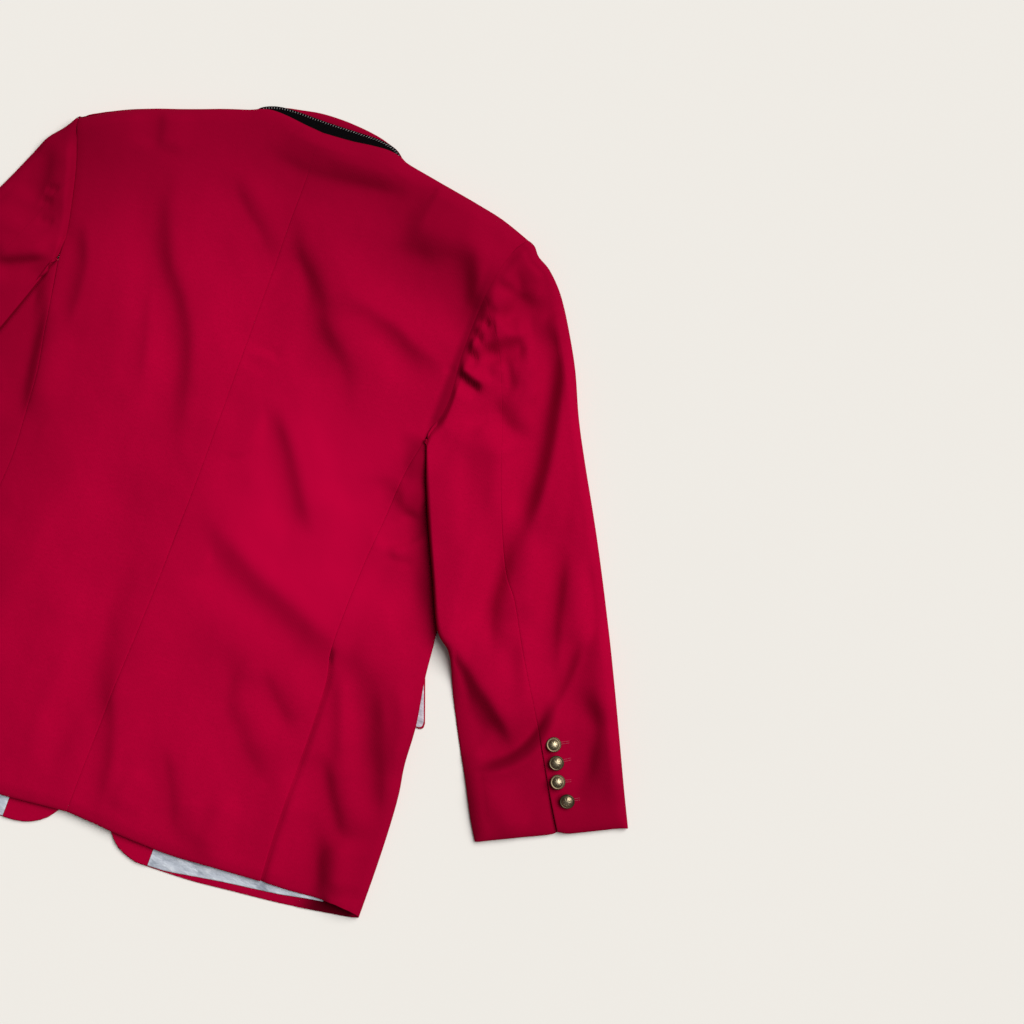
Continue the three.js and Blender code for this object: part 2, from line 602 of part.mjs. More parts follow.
/**
 * A point of the sleeve's ring. Place 0 to 1 is the lower layer from the inner seam to the outer fold, then
 * round the fold to 2, over the upper layer to the elbow seam at 3, on to the inner fold at 4, round it to
 * 5, and along the lower layer to the inner seam at 6.
 */
function sleevePoint(half, { top, patch }, ring, along) {
  const at = (across) => patch(across, along);
  const width = at(0).distanceTo(at(1));
  const radiusAt = (across) => {
    const { x, y } = at(across);
    return Math.max(LAP, (top(x, y, along) - sleeveBed(half, x, y)) / 2);
  };
  const [innerRadius, outerRadius] = [radiusAt(8 / width), radiusAt(1 - 8 / width)];
  const [innerTurn, outerTurn] = [innerRadius / width, 1 - outerRadius / width];
  const elbow = reading(half.elbow, along);
  const lower = (across) => {
    const { x, y } = at(across);
    return new THREE.Vector3(x, y, sleeveBed(half, x, y));
  };
  const upper = (across) => {
    const { x, y } = at(across);
    return new THREE.Vector3(x, y, top(x, y, along));
  };
  const round = (turn, radius, direction, angle) => {
    const [low, high] = [lower(turn), upper(turn)];
    const { x, y } = at(turn + (direction * Math.sin(angle) * radius) / width);
    return new THREE.Vector3(x, y, lerp(low.z, high.z, (1 - Math.cos(angle)) / 2));
  };
  if (ring <= 1) return lower(lerp(INSEAM, outerTurn, ring));
  if (ring <= 2) return round(outerTurn, outerRadius, 1, Math.PI * (ring - 1));
  if (ring <= 3) return upper(lerp(outerTurn, elbow, ring - 2));
  if (ring <= 4) return upper(lerp(elbow, innerTurn, ring - 3));
  if (ring <= 5) return round(innerTurn, innerRadius, -1, Math.PI * (5 - ring));
  return lower(lerp(innerTurn, INSEAM, ring - 5));
}

function buildSleeve(half) {
  const section = sleeveSection(half);
  const surface = (ring, along) => sleevePoint(half, section, ring, along);
  const gap = SEAM / 100;
  const rows = [START, 0.03, 0.07, ...steps(0.12, 1, 17)];
  const topRing = [gap, 0.34, 0.67, 1, 1.25, 1.5, 1.75, 2, 2.14, 2.3, 2.48, 2.66, 2.84, 3 - gap];
  const underRing = [3 + gap, 3.16, 3.34, 3.52, 3.7, 3.86, 4, 4.25, 4.5, 4.75, 5, 5.5, 6 - gap];
  const options = { sign: half.sign };
  return [
    wall(`topsleeve_${half.name}`, wool, surface, topRing, rows, options),
    wall(`undersleeve_${half.name}`, wool, surface, underRing, rows, options),
  ];
}

// ---------------------------------------------------------------- pocket flaps

/** A pocket flap lies under the front; its lower outer corner is rounded and shows past the side. */
function buildFlap(half) {
  const { end, low } = half.flap;
  const outlineAt = (u, v, margin, from) => {
    const out = lerp(from, end - margin, u);
    const past = Math.max(0, out - (end - margin - FLAP.corner)) / FLAP.corner;
    const cut = FLAP.corner * (1 - Math.sqrt(Math.max(0, 1 - past * past)));
    const y = lerp(low + margin + cut, low + FLAP.deep, v);
    return [out - (FLAP.rake * u * (y - low)) / FLAP.deep, y];
  };
  const cloth = (u, v) => {
    const [out, y] = outlineAt(u, v, 0, end - FLAP.length);
    return new THREE.Vector3(out, y, CLOTH);
  };
  const lining = (u, v) => {
    const [out, y] = outlineAt(u, v, FLAP.rim, end - FLAP.lining);
    return new THREE.Vector3(out, y, LAP + SATIN);
  };
  const corner = 1 - FLAP.corner / FLAP.length;
  const us = [...steps(0, corner, 4), ...[0.35, 0.65, 0.88, 0.97].map((share) => lerp(corner, 1, share))];
  const options = { sign: half.sign };
  return [
    wall(`flap_${half.name}`, wool, cloth, us, steps(0, 1, 3), options),
    wall(`flap_lining_${half.name}`, flapSatin, lining, us, steps(0, 0.97, 3), { ...options, thickness: SATIN }),
  ];
}

// ---------------------------------------------------------------- buttons

/** A domed metal button, its flat back at z = 0. */
function buttonGeometry({ radius, height }) {
  const profile = BUTTON_PROFILE.map(([r, z]) => new THREE.Vector2(r * radius, z * height));
  return new THREE.LatheGeometry(profile, BUTTON_SIDES).rotateX(Math.PI / 2);
}

function buildCuffButtons(half) {
  const section = sleeveSection(half);
  return half.buttons.map(([out, y, tilt], index) => {
    const mesh = named(`cuff_button_${half.name}_${index + 1}`, buttonGeometry(CUFF_BUTTON), brass);
    const along = clamp((half.sleeveInner[0][1] - y) / (half.sleeveInner[0][1] - half.cuff[0][1]), 0, 1);
    const rest = section.top(out, y, along);
    const lean = THREE.MathUtils.degToRad(tilt);
    mesh.position.set(half.sign * out, y, rest + CUFF_BUTTON.radius * Math.abs(Math.sin(lean)) + BUTTON_STAND);
    mesh.rotation.set(lean, 0, 0);
    return mesh;
  });
}

function buildFrontButtons() {
  return FRONT_BUTTON.ys.map((y, index) => {
    const mesh = named(`front_button_${index + 1}`, buttonGeometry(FRONT_BUTTON).rotateX(Math.PI), brass);
    mesh.position.set(FRONT_BUTTON.x, y, FRONT_BUTTON.height);
    return mesh;
  });
}

// ---------------------------------------------------------------- the blazer

const blazer = new THREE.Group();
for (const half of HALVES) {
  const edge = half.frontHem[0][0];
  const facing = { from: edge + 2, to: half.facingEnd, thickness: CLOTH, rise: 0, setIn: FACING_IN, tall: 38 };
  const lining = { from: half.facingEnd + SEAM, to: half.liningEnd, thickness: SATIN, rise: 1.5, setIn: LINING_IN, tall: 40 };
  blazer.add(
    buildBack(half),
    buildSide(half),
    buildFront(half),
    buildHemStrip(half, "facing", wool, facing),
    buildHemStrip(half, "lining", satin, lining),
    buildLapel(half),
    ...buildSleeve(half),
    ...buildFlap(half),
    ...buildCuffButtons(half),
  );
}
blazer.add(buildCollar(), buildUnderCollar(), ...buildFrontButtons());

export default blazer;
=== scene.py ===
"""The looks of a wool blazer lying on its front: cloth, lining, felt, stitches, buttons, light and camera.

The tables are in millimetres, in the frame of the CAD solids: +Z up from the floor, +Y up the back to the
collar and +X to the wearer's right. Each half is set out from the centre line, so the first number of a row
is the distance from that line on either half, and a half's sign turns it into X. The creases' points are in
X and Y themselves, because no two of them are alike.
"""

from __future__ import annotations

import logging
import math
from collections.abc import Callable, Sequence
from dataclasses import dataclass

import bmesh
import bpy
import numpy as np
from mathutils import Matrix, Vector

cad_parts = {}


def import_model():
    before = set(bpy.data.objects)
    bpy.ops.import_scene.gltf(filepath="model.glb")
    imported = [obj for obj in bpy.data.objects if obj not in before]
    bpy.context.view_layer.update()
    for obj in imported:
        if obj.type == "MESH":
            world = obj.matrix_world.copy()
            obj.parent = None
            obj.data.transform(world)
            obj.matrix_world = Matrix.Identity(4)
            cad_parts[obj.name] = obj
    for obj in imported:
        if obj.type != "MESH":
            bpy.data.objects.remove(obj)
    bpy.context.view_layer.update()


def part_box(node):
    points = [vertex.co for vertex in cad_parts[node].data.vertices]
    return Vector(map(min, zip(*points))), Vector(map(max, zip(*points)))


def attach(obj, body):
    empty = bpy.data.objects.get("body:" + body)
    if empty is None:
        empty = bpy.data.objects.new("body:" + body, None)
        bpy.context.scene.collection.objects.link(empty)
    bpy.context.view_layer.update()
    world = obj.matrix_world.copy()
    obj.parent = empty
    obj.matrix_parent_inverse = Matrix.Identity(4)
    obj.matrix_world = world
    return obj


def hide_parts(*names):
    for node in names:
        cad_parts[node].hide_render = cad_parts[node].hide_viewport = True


LOG = logging.getLogger("blazer")

Array = np.ndarray
Rows = Sequence[Sequence[float]]
Surface = Callable[[Array, Array], Array]

MM = 0.001
CLOTH = 2.0
FELT = 1.5
SATIN = 1.0
SEAM = 0.3
LAP = CLOTH + SEAM
ROLL_BEFORE, ROLL_BEGUN = 0.35, 0.1664


# ---------------------------------------------------------------------------------------- curves


def ease(x: Array, low: float, high: float) -> Array:
    """Goes smoothly from 0 at low to 1 at high."""
    share = np.clip((x - low) / (high - low), 0, 1)
    return share * share * (3 - 2 * share)


def lerp(a: Array | float, b: Array | float, share: Array | float) -> Array:
    """The value a share of the way from a to b."""
    return a + (b - a) * share


def rounding(distance: Array, radius: float, depth: float) -> Array:
    """How far a rounded edge drops.

    Args:
        distance: How far in from the edge.
        radius: How far in the rounding starts.
        depth: The drop at the edge itself.

    Returns:
        The drop, 0 beyond the radius.
    """
    left = np.clip(1 - distance / radius, 0, 1)
    return depth * (1 - np.sqrt(1 - left**2))


def rolling(distance: Array, width: float, depth: float) -> Array:
    """How far cloth drops towards an edge that it rolls softly down to.

    Args:
        distance: How far in from the edge.
        width: How far in the roll starts.
        depth: The drop at the edge itself.

    Returns:
        The drop, 0 beyond the width.
    """
    return depth * (1 - ease(distance, -ROLL_BEFORE * width, width)) / (1 - ROLL_BEGUN)


def spaced(length: float, pitch: float, low: float = 0.0, high: float = 1.0) -> Array:
    """Places for rows of points on a length of cloth, closer together near both ends.

    Args:
        length: The length in millimetres.
        pitch: The usual distance between rows.
        low: Where they start, as a share of the length.
        high: Where they end.

    Returns:
        The places, as shares of the length.
    """
    close = np.array([0.0, 0.35, 0.8, 1.5, 2.5, 3.9]) / length
    inner = np.linspace(low + 5.6 / length, high - 5.6 / length, max(2, round(length / pitch)))
    return np.concatenate([low + close, inner, (high - close)[::-1]])


class Line:
    """A smooth line through rows of two numbers, walked by its length."""

    FINE = 24

    def __init__(self, rows: Rows) -> None:
        """Lays the line.

        Args:
            rows: The points that it passes through.
        """
        given = np.asarray(rows, dtype=float)
        last = len(given) - 1
        at = np.linspace(0, last, last * self.FINE + 1)
        index = np.minimum(at.astype(int), last - 1)
        t = (at - index)[:, None]
        before, start, end, after = (given[np.clip(index + step, 0, last)] for step in (-1, 0, 1, 2))
        leave, arrive = (end - before) / 2, (after - start) / 2
        cubic = (2 * start - 2 * end + leave + arrive) * t**3
        square = (-3 * start + 3 * end - 2 * leave - arrive) * t**2
        self.points = cubic + square + leave * t + start
        self.walked = np.concatenate([[0.0], np.cumsum(np.hypot(*np.diff(self.points, axis=0).T))])
        self.length = float(self.walked[-1])

    def at(self, share: Array) -> tuple[Array, Array]:
        """The points at shares of the length, as first and second numbers."""
        walked = np.clip(share, 0, 1) * self.length
        first, second = (np.interp(walked, self.walked, self.points[:, column]) for column in (0, 1))
        return first, second

    def first_at(self, second: Array) -> Array:
        """The first number of the row at which the second has a given value."""
        ordered = self.points if self.points[0, 1] < self.points[-1, 1] else self.points[::-1]
        return np.interp(second, ordered[:, 1], ordered[:, 0])

    def second_at(self, first: Array) -> Array:
        """The second number of the row at which the first has a given value."""
        return np.interp(first, self.points[:, 0], self.points[:, 1])


class Patch:
    """A surface between four lines: left and right run up, bottom and top run from left to right."""

    def __init__(self, left: Line, right: Line, bottom: Line, top: Line) -> None:
        """Keeps the four lines and the corners between them."""
        self.left, self.right, self.bottom, self.top = left, right, bottom, top
        self.corners = [line.points[end] for line, end in ((left, 0), (right, 0), (left, -1), (right, -1))]

    def at(self, across: Array, up: Array) -> tuple[Array, Array]:
        """The points at shares across and up the patch.

        Args:
            across: 0 on the left line to 1 on the right one.
            up: 0 on the bottom line to 1 on the top one.

        Returns:
            Their first and second coordinates.
        """
        left, right = self.left.at(up), self.right.at(up)
        bottom, top = self.bottom.at(across), self.top.at(across)
        spots = []
        for axis in (0, 1):
            low = lerp(self.corners[0][axis], self.corners[1][axis], across)
            high = lerp(self.corners[2][axis], self.corners[3][axis], across)
            sides = lerp(left[axis], right[axis], across)
            spots.append(sides + lerp(bottom[axis], top[axis], up) - lerp(low, high, up))
        return spots[0], spots[1]

    def span(self, up: Array) -> Array:
        """The width of the patch at shares up it."""
        left, right = self.left.at(up), self.right.at(up)
        return np.hypot(right[0] - left[0], right[1] - left[1])


def nearest(spine: Array, x: Array, y: Array) -> tuple[Array, Array, Array]:
    """How points lie to a line of straight pieces.

    Args:
        spine: The points of the line.
        x: First coordinates of the points.
        y: Second coordinates of the points.

    Returns:
        The distance, the side as 1 on the left of the line and -1 on its right, and the length walked.
    """
    closest = np.full(np.shape(x), np.inf)
    side, along = np.zeros_like(closest), np.zeros_like(closest)
    walked = 0.0
    for (ax, ay), (bx, by) in zip(spine[:-1], spine[1:]):
        dx, dy = bx - ax, by - ay
        length = math.hypot(dx, dy) or 1e-9
        share = np.clip(((x - ax) * dx + (y - ay) * dy) / length**2, 0, 1)
        distance = np.hypot(x - ax - share * dx, y - ay - share * dy)
        nearer = distance < closest
        closest = np.where(nearer, distance, closest)
        side = np.where(nearer, np.sign(dx * (y - ay) - dy * (x - ax)), side)
        along = np.where(nearer, walked + share * length, along)
        walked += length
    return closest, side, along


@dataclass(frozen=True)
class Outline:
    """A closed outline on the floor."""

    points: Array

    def outside(self, x: Array, y: Array) -> Array:
        """How far points lie outside it.

        Args:
            x: First coordinates of the points.
            y: Second coordinates of the points.

        Returns:
            The distances, 0 inside.
        """
        ring = np.vstack([self.points, self.points[:1]])
        distance = nearest(ring, x, y)[0]
        inside = np.zeros(np.shape(x), dtype=bool)
        for (ax, ay), (bx, by) in zip(ring[:-1], ring[1:]):
            if ay != by:
                crosses = ((ay > y) != (by > y)) & (x < (bx - ax) * (y - ay) / (by - ay) + ax)
                inside ^= crosses
        return np.where(inside, 0.0, distance)


def rectangle(x0: float, x1: float, y0: float, y1: float) -> Outline:
    """An upright rectangle."""
    return Outline(np.array([[x0, y0], [x1, y0], [x1, y1], [x0, y1]]))


# ---------------------------------------------------------------------------------------- creases


@dataclass(frozen=True)
class Crease:
    """One crease of the laid cloth, along a line of points.

    Wide is its half width. Rise is how much higher the cloth stands on the left of the line than on its
    right, and stand is how high it stands up along the line, or how low it lies where that is below 0. Both
    fade out towards the line's ends. Reach is how many half widths the cloth takes to come back to its level.
    """

    wide: float
    rise: float
    stand: float
    line: Rows
    reach: float = 3.0

    PARTS = 6
    FADE = 0.3
    STEEP = 1.3

    def at(self, x: Array, y: Array) -> Array:
        """The rise that it gives the cloth.

        Args:
            x: First coordinates of points of the cloth.
            y: Second coordinates of them.

        Returns:
            How much higher the cloth lies there than without it.
        """
        spine = Line(self.line).points[:: Line.FINE // self.PARTS]
        distance, side, along = nearest(spine, x, y)
        length = np.hypot(*np.diff(spine, axis=0).T).sum()
        strength = ease(np.minimum(along, length - along), 0, self.FADE * length)
        q = distance / self.wide
        level = np.exp(-q / self.reach) * (1 - ease(q / self.reach, 0.5, 1.3))
        step = self.STEEP * self.rise * side * level * q / np.sqrt(1 + q * q)
        return strength * (step + self.stand * np.exp(-(q**2)))


# Rows of half width, rise, stand and the points of the line.
BODY_CREASES = [
    # From the left shoulder blade to the waist, and beside it.
    Crease(15, 7, 3.5, [[-131, 292], [-122, 250], [-110, 215], [-95, 185], [-73, 158], [-55, 128],
                        [-42, 95], [-34, 60], [-28, 28], [-18, -5]]),
    Crease(9, 3, -1.5, [[-70, 300], [-56, 278], [-40, 262], [-22, 248], [-8, 228], [-2, 200]]),
    Crease(9, 3.5, 2.5, [[-200, 205], [-186, 182], [-176, 158], [-172, 130], [-170, 100], [-172, 75]]),
    Crease(18, 3.5, -2.5, [[-15, -60], [-24, -110], [-26, -160], [-17, -205], [-20, -255], [-24, -310],
                           [-22, -362]]),
    # Under the collar.
    Crease(14, 6.5, -1.5, [[-52, 345], [-40, 331], [-20, 324], [10, 322], [50, 327], [90, 334],
                           [122, 342]]),
    Crease(12, 2.5, 3, [[-46, 338], [-28, 345], [0, 347], [30, 342], [70, 343], [115, 350]]),
    # From the neck to the right shoulder blade, and across to the armhole.
    Crease(16, 7, 0.5, [[-2, 300], [8, 265], [24, 240], [45, 222], [62, 203], [72, 183], [92, 165],
                        [110, 146], [119, 122], [120, 95]]),
    Crease(24, 7, -2.5, [[15, 262], [28, 232], [40, 205], [55, 180], [75, 155], [95, 138]]),
    Crease(12, 4.5, 3.5, [[66, 226], [85, 217], [110, 211], [135, 205], [162, 193], [190, 186],
                          [207, 184]]),
    # Over the right shoulder pad.
    Crease(25, 7, 4.5, [[100, 306], [125, 300], [150, 304], [180, 312], [204, 318]]),
    Crease(18, 4, -5.5, [[98, 292], [120, 278], [148, 270], [170, 264], [188, 246], [200, 225],
                         [204, 205]]),
    Crease(13, 5.5, 5, [[176, 318], [188, 296], [198, 272], [206, 246]]),
    # Across the waist to the side seam.
    Crease(13, 5.5, 2.5, [[44, 98], [62, 76], [85, 48], [104, 20], [120, -2], [138, -24]]),
    Crease(18, 6, 6, [[8, -30], [35, -45], [65, -60], [100, -78], [140, -93], [175, -108], [203, -120],
                      [228, -124]]),
    Crease(20, 0.5, 4.5, [[205, -112], [235, -116], [262, -124], [288, -140]]),
    # In the skirt of the back.
    Crease(14, 4, -2, [[88, -140], [106, -172], [116, -205], [135, -226], [158, -250], [192, -272]]),
    Crease(13, 4, -1, [[132, -155], [150, -175], [170, -193], [192, -206]]),
    Crease(10, 3, -0.5, [[66, -262], [78, -280], [90, -303], [104, -330], [108, -352]]),
    Crease(11, 4.5, 2.5, [[-2, -195], [2, -235], [14, -268], [24, -305], [27, -340], [26, -366]]),
    Crease(16, -2.5, 4, [[140, -285], [150, -305], [146, -335], [142, -360]]),
    Crease(9, 1.5, 2, [[58, -295], [46, -318], [40, -345]]),
    # On the right side body, below its vent.
    Crease(9, 0.5, 4.5, [[204, -125], [214, -150], [226, -178], [236, -205], [244, -232]]),
    Crease(13, 9, -4, [[222, -212], [232, -238], [246, -262], [262, -282], [280, -300]]),
    Crease(12, 7.5, -6, [[232, -272], [240, -298], [250, -325], [260, -350], [266, -366]]),
    Crease(12, 4.5, 6, [[262, -290], [272, -320], [278, -350]]),
    Crease(14, 6, 4, [[238, -118], [252, -146], [268, -180], [282, -215], [294, -248], [300, -275]]),
    Crease(11, -3, 7, [[262, -120], [282, -150], [292, -185], [300, -215]]),
    # Shallow ones between the others.
    Crease(12, 3.5, -6, [[28, 215], [30, 185], [27, 150], [24, 110]]),
    Crease(9, 3.5, 0.5, [[-158, 332], [-150, 308], [-146, 285]]),
    Crease(9, 2.5, 1, [[-112, 175], [-100, 130], [-88, 90], [-80, 50]]),
    Crease(30, -2, -5, [[-60, -10], [-66, -60], [-70, -120], [-66, -180]]),
    Crease(12, -2.5, 2.5, [[-48, -190], [-50, -240], [-52, -290], [-50, -340]]),
    Crease(28, -2.5, -1, [[52, -120], [50, -165], [46, -215], [40, -265]]),
    Crease(20, -3.5, -2, [[20, 90], [30, 50], [26, 10], [18, -25]]),
    # Beside the right armpit.
    Crease(11, 4.5, 2.5, [[195, 70], [205, 45], [222, 36], [238, 38]]),
    Crease(8, 4.5, -6.5, [[236, 36], [222, 18], [206, 4], [196, -6]]),
    Crease(22, 1.5, -4, [[196, -28], [215, -30], [238, -28], [258, -22]]),
    Crease(11, -2, 6, [[198, 108], [208, 84], [216, 60], [228, 40]]),
    Crease(28, -3.5, -4, [[150, 60], [170, 20], [178, -20], [176, -60]]),
    Crease(21, -5.5, 1, [[215, -40], [240, -70], [262, -95], [284, -112]]),
    # On the left side.
    Crease(12, 8, -4.5, [[-200, 120], [-196, 70], [-188, 20], [-176, -20]]),
    Crease(13, -3, 0, [[-110, -60], [-118, -160], [-132, -260]]),
    Crease(15, 3, 0, [[-150, -100], [-190, -130], [-235, -150]]),
    Crease(9, 0, -4.5, [[-208, 138], [-222, 88], [-240, 26]]),
    # The lip at the hem's right corner.
    Crease(13, 0, 6.5, [[272, -362], [286, -356], [302, -362]]),
    # On the left side body.
    Crease(14, 4, 0, [[-212, -190], [-232, -250], [-262, -340]]),
    Crease(12, 3.5, 0, [[-236, -225], [-262, -265], [-284, -300]]),
    Crease(13, 4, 0, [[-262, -120], [-280, -180], [-290, -235]]),
]

FINE_CREASES = [
    Crease(7, 0.5, 0, [[-60, -180], [-66, -240], [-70, -300]]),
    Crease(7, 0.5, 0, [[-150, 60], [-158, 0], [-160, -60]]),
    Crease(4, 0, -1, [[197, 184], [203, 186], [209, 187]]),
    Crease(8, 0.7, 0, [[150, -270], [165, -300], [170, -335]]),
]

SIDE_CREASES = [
    Crease(7, 0, -3, [[226, 32], [236, 36], [246, 40]]),
    Crease(4, 0, -1.5, [[208, 2], [222, 14], [234, 30]]),
    Crease(7, 0, 1, [[200, 60], [206, 40], [202, 20]]),
    Crease(5, 0, -1, [[205, -8], [220, -12], [240, -10]]),
]

SLEEVE_CREASES = {
    "right": [
        # Down the sleeve, from its head to the elbow.
        Crease(10, 9, 7, [[286, 282], [300, 256], [308, 232], [314, 205], [321, 172], [327, 140],
                          [331, 105], [332, 75], [330, 52], [326, 35]]),
        Crease(12, 5.5, -4.5, [[330, 62], [324, 38], [325, 12], [327, -14], [334, -40], [344, -62],
                               [354, -80]]),
        Crease(10, 3, -2, [[316, 75], [315, 45], [316, 12], [320, -25], [330, -55]]),
        # In the fore-sleeve, and the crook above the cuff.
        Crease(9, 4.5, 1, [[372, 70], [380, 45], [387, 18], [393, -10], [401, -35], [408, -58],
                           [412, -80]]),
        Crease(7, 4, 2.5, [[418, -10], [424, -40], [423, -75], [418, -100], [410, -124]]),
        Crease(7, 7, -4.5, [[420, -92], [411, -122], [401, -145], [387, -162], [370, -174], [358, -180]]),
        Crease(10, 9.5, 2.5, [[278, -56], [292, -66], [306, -76], [322, -89], [340, -102], [360, -115],
                              [378, -130], [391, -145], [398, -160]], reach=5),
        Crease(17, 9, -7, [[312, -110], [332, -125], [352, -140], [372, -152]]),
        Crease(15, 5, 7.5, [[428, 8], [438, -18], [447, -50], [461, -82], [471, -100]]),
        Crease(14, 8, -2, [[450, -55], [462, -82], [472, -108], [477, -135], [480, -162]]),
        Crease(11, 2, -2.5, [[452, -100], [466, -130], [474, -160], [480, -185]]),
        # Puckers at the armhole.
        Crease(5, 7, -3, [[206, 192], [214, 187], [224, 182], [234, 180], [244, 175]]),
        Crease(7, -2, -4, [[210, 200], [218, 195], [230, 193], [242, 196], [250, 202]]),
        Crease(4, 6, -3.5, [[208, 213], [214, 210], [222, 207], [230, 205]]),
        Crease(5, 5, 1, [[212, 224], [222, 223], [232, 221], [242, 219], [250, 218]]),
        Crease(4, 2, -6, [[208, 228], [215, 227], [224, 227]]),
        Crease(4, -1.5, -7, [[208, 240], [216, 240], [226, 242]]),
        Crease(5, 3.5, 3, [[209, 219], [217, 218], [227, 214]]),
        Crease(4, 2, -2, [[209, 234], [218, 233], [229, 231]]),
        # Over the sleeve's head.
        Crease(8, 9, 4, [[226, 226], [236, 229], [246, 235], [256, 240], [268, 244]]),
        Crease(9, -2.5, -0.5, [[232, 248], [244, 246], [256, 247], [268, 250], [276, 252]]),
        Crease(8, -3, 0, [[262, 250], [270, 236], [278, 222], [288, 210], [296, 204]]),
        Crease(7, 2.5, 1, [[250, 218], [258, 210], [266, 200], [276, 192]]),
        Crease(8, -4, 2, [[218, 206], [228, 200], [240, 203], [250, 210], [258, 214]]),
        Crease(10, 4, -3, [[248, 178], [258, 171], [268, 163], [280, 155], [296, 153], [310, 158]]),
        Crease(16, 1, 1.5, [[262, 184], [275, 184], [288, 190], [296, 204]]),
        Crease(12, -1, 4, [[248, 150], [258, 142], [268, 136], [282, 130], [292, 126]]),
        Crease(10, 3, -2.5, [[226, 312], [236, 296], [246, 281], [256, 275], [266, 279], [276, 292]]),
        Crease(8, -6, -5, [[238, 284], [240, 270], [236, 256], [230, 246]]),
        Crease(6, 3, 2, [[212, 290], [220, 287], [230, 286], [238, 288]]),
        Crease(12, 4, 4, [[272, 270], [284, 262], [298, 256], [308, 248]]),
        Crease(7, -2, 0.5, [[278, 250], [288, 226], [296, 204], [292, 186], [278, 174]]),
        # Shallow ones down the sleeve.
        Crease(12, -1.5, -3, [[280, 150], [290, 128], [302, 104], [312, 82], [322, 64]]),
        Crease(9, -1.5, 1.5, [[352, 150], [366, 120], [375, 92], [380, 66]]),
        Crease(9, -1.5, 0.5, [[300, 98], [310, 70], [314, 50], [312, 25]]),
        Crease(14, -2.5, 4.5, [[338, 70], [350, 35], [358, 0], [364, -30]]),
        Crease(14, -2, 0.5, [[268, 90], [284, 50], [296, 10], [304, -30]]),
        Crease(13, -4, 0, [[240, 120], [252, 85], [266, 50], [278, 15]]),
        Crease(10, -5, -3, [[400, 60], [412, 30], [424, 0], [432, -30]]),
        Crease(6, -3, 0, [[346, -165], [358, -190], [372, -214], [388, -242]]),
        Crease(18, -1.5, 5, [[380, -180], [398, -200], [420, -215], [440, -222]]),
        Crease(9, 2, 3, [[360, -30], [372, -60], [384, -88], [392, -112]]),
        Crease(10, -1, 3.5, [[486, -90], [496, -120], [504, -145], [512, -170]]),
        # Along the shoulder and the armhole.
        Crease(8, -3.5, 2, [[222, 330], [236, 318], [250, 308], [264, 302]]),
        Crease(10, 3, -0.5, [[206, 178], [214, 165], [216, 150], [212, 136], [206, 122]]),
    ],
    "left": [
        Crease(12, 5, 0, [[-248, 262], [-240, 225], [-238, 190]]),
        Crease(7, 8, 0, [[-266, 124], [-235, 138], [-206, 151]]),
        Crease(14, 5.5, 0, [[-300, 90], [-330, 10], [-352, -70]]),
        Crease(13, 5, 0, [[-300, -110], [-335, -135], [-372, -150]]),
        Crease(13, 4, 0, [[-395, -60], [-425, -130], [-430, -190]]),
        Crease(4, 0, -2.5, [[-224, 216], [-232, 214], [-240, 212]]),
        Crease(4, 0, -2, [[-226, 202], [-234, 200], [-241, 200]]),
        Crease(4, 0, -2, [[-218, 184], [-228, 181], [-238, 181]]),
        Crease(9, 2.5, 0, [[-262, 214], [-276, 190], [-284, 160]]),
        Crease(9, 2, 0, [[-258, 100], [-270, 60], [-284, 20]]),
        Crease(9, 2.5, 0, [[-336, 40], [-362, -20], [-384, -70]]),
        Crease(6, 0, -2, [[-330, -220], [-350, -260], [-366, -290]]),
        Crease(8, 2.5, 0, [[-330, -180], [-352, -196], [-380, -200]]),
    ],
}


def settled(rise: Array, deepest: float, highest: float) -> Array:
    """Creases that have met each other, kept within a depth and a height.

    Args:
        rise: What all of them together would raise the cloth.
        deepest: The depth that the cloth only nears.
        highest: The height that it only nears.

    Returns:
        The rise of the settled cloth.
    """
    limit = np.where(rise < 0, deepest, highest)
    return limit * np.tanh(rise / limit)


def resting(level: Array, bed: Array, softness: float = 0.5) -> Array:
    """A level that comes down softly onto the bed under it.

    Args:
        level: How high the cloth would lie.
        bed: How high what it lies on is.
        softness: How far above the bed it already bends away.

    Returns:
        How high the cloth lies.
    """
    gap = level - bed
    return bed + (gap + np.sqrt(gap**2 + 4 * softness**2)) / 2


class Ripple:
    """The slight unevenness of laid cloth: a sum of long, low waves in fixed directions."""

    def __init__(self, seed: int, waves: int, shortest: float, longest: float, height: float) -> None:
        """Picks the waves.

        Args:
            seed: Which waves are picked.
            waves: How many there are.
            shortest: The shortest wave in millimetres.
            longest: The longest wave.
            height: How high the waves are together, roughly.
        """
        pick = np.random.default_rng(seed)
        heading = pick.uniform(0, math.pi, waves)
        turns = 2 * math.pi / pick.uniform(shortest, longest, waves)
        self.kx, self.ky = turns * np.cos(heading), turns * np.sin(heading)
        self.phase = pick.uniform(0, 2 * math.pi, waves)
        self.height = height / math.sqrt(waves)

    def at(self, x: Array, y: Array) -> Array:
        """The height of the waves at points."""
        angle = np.multiply.outer(x, self.kx) + np.multiply.outer(y, self.ky) + self.phase
        return self.height * np.sin(angle).sum(axis=-1)


SWELL = Ripple(3, 9, 70, 190, 0.55)
RUMPLE = Ripple(5, 12, 16, 44, 0.10)


# ---------------------------------------------------------------------------------------- the cut


@dataclass
class Cut:
    """The outlines of one half of the blazer as it lies, in rows of distance out and y."""

    name: str
    sign: int
    centre: Rows
    hem: Rows
    seam: Rows
    shoulder: Rows
    neck_point: float
    fold: Rows
    side_hem: Rows
    side_top: Rows
    front_edge: Rows
    front_hem: Rows
    hem_on: Rows
    facing_end: float
    lining_end: float
    lapel_roll: Rows
    lapel_edge: Rows
    lapel_gorge: Rows
    sleeve_inner: Rows
    sleeve_outer: Rows
    cuff: Rows
    elbow: Rows
    buttons: Rows
    flap_end: float
    flap_low: float


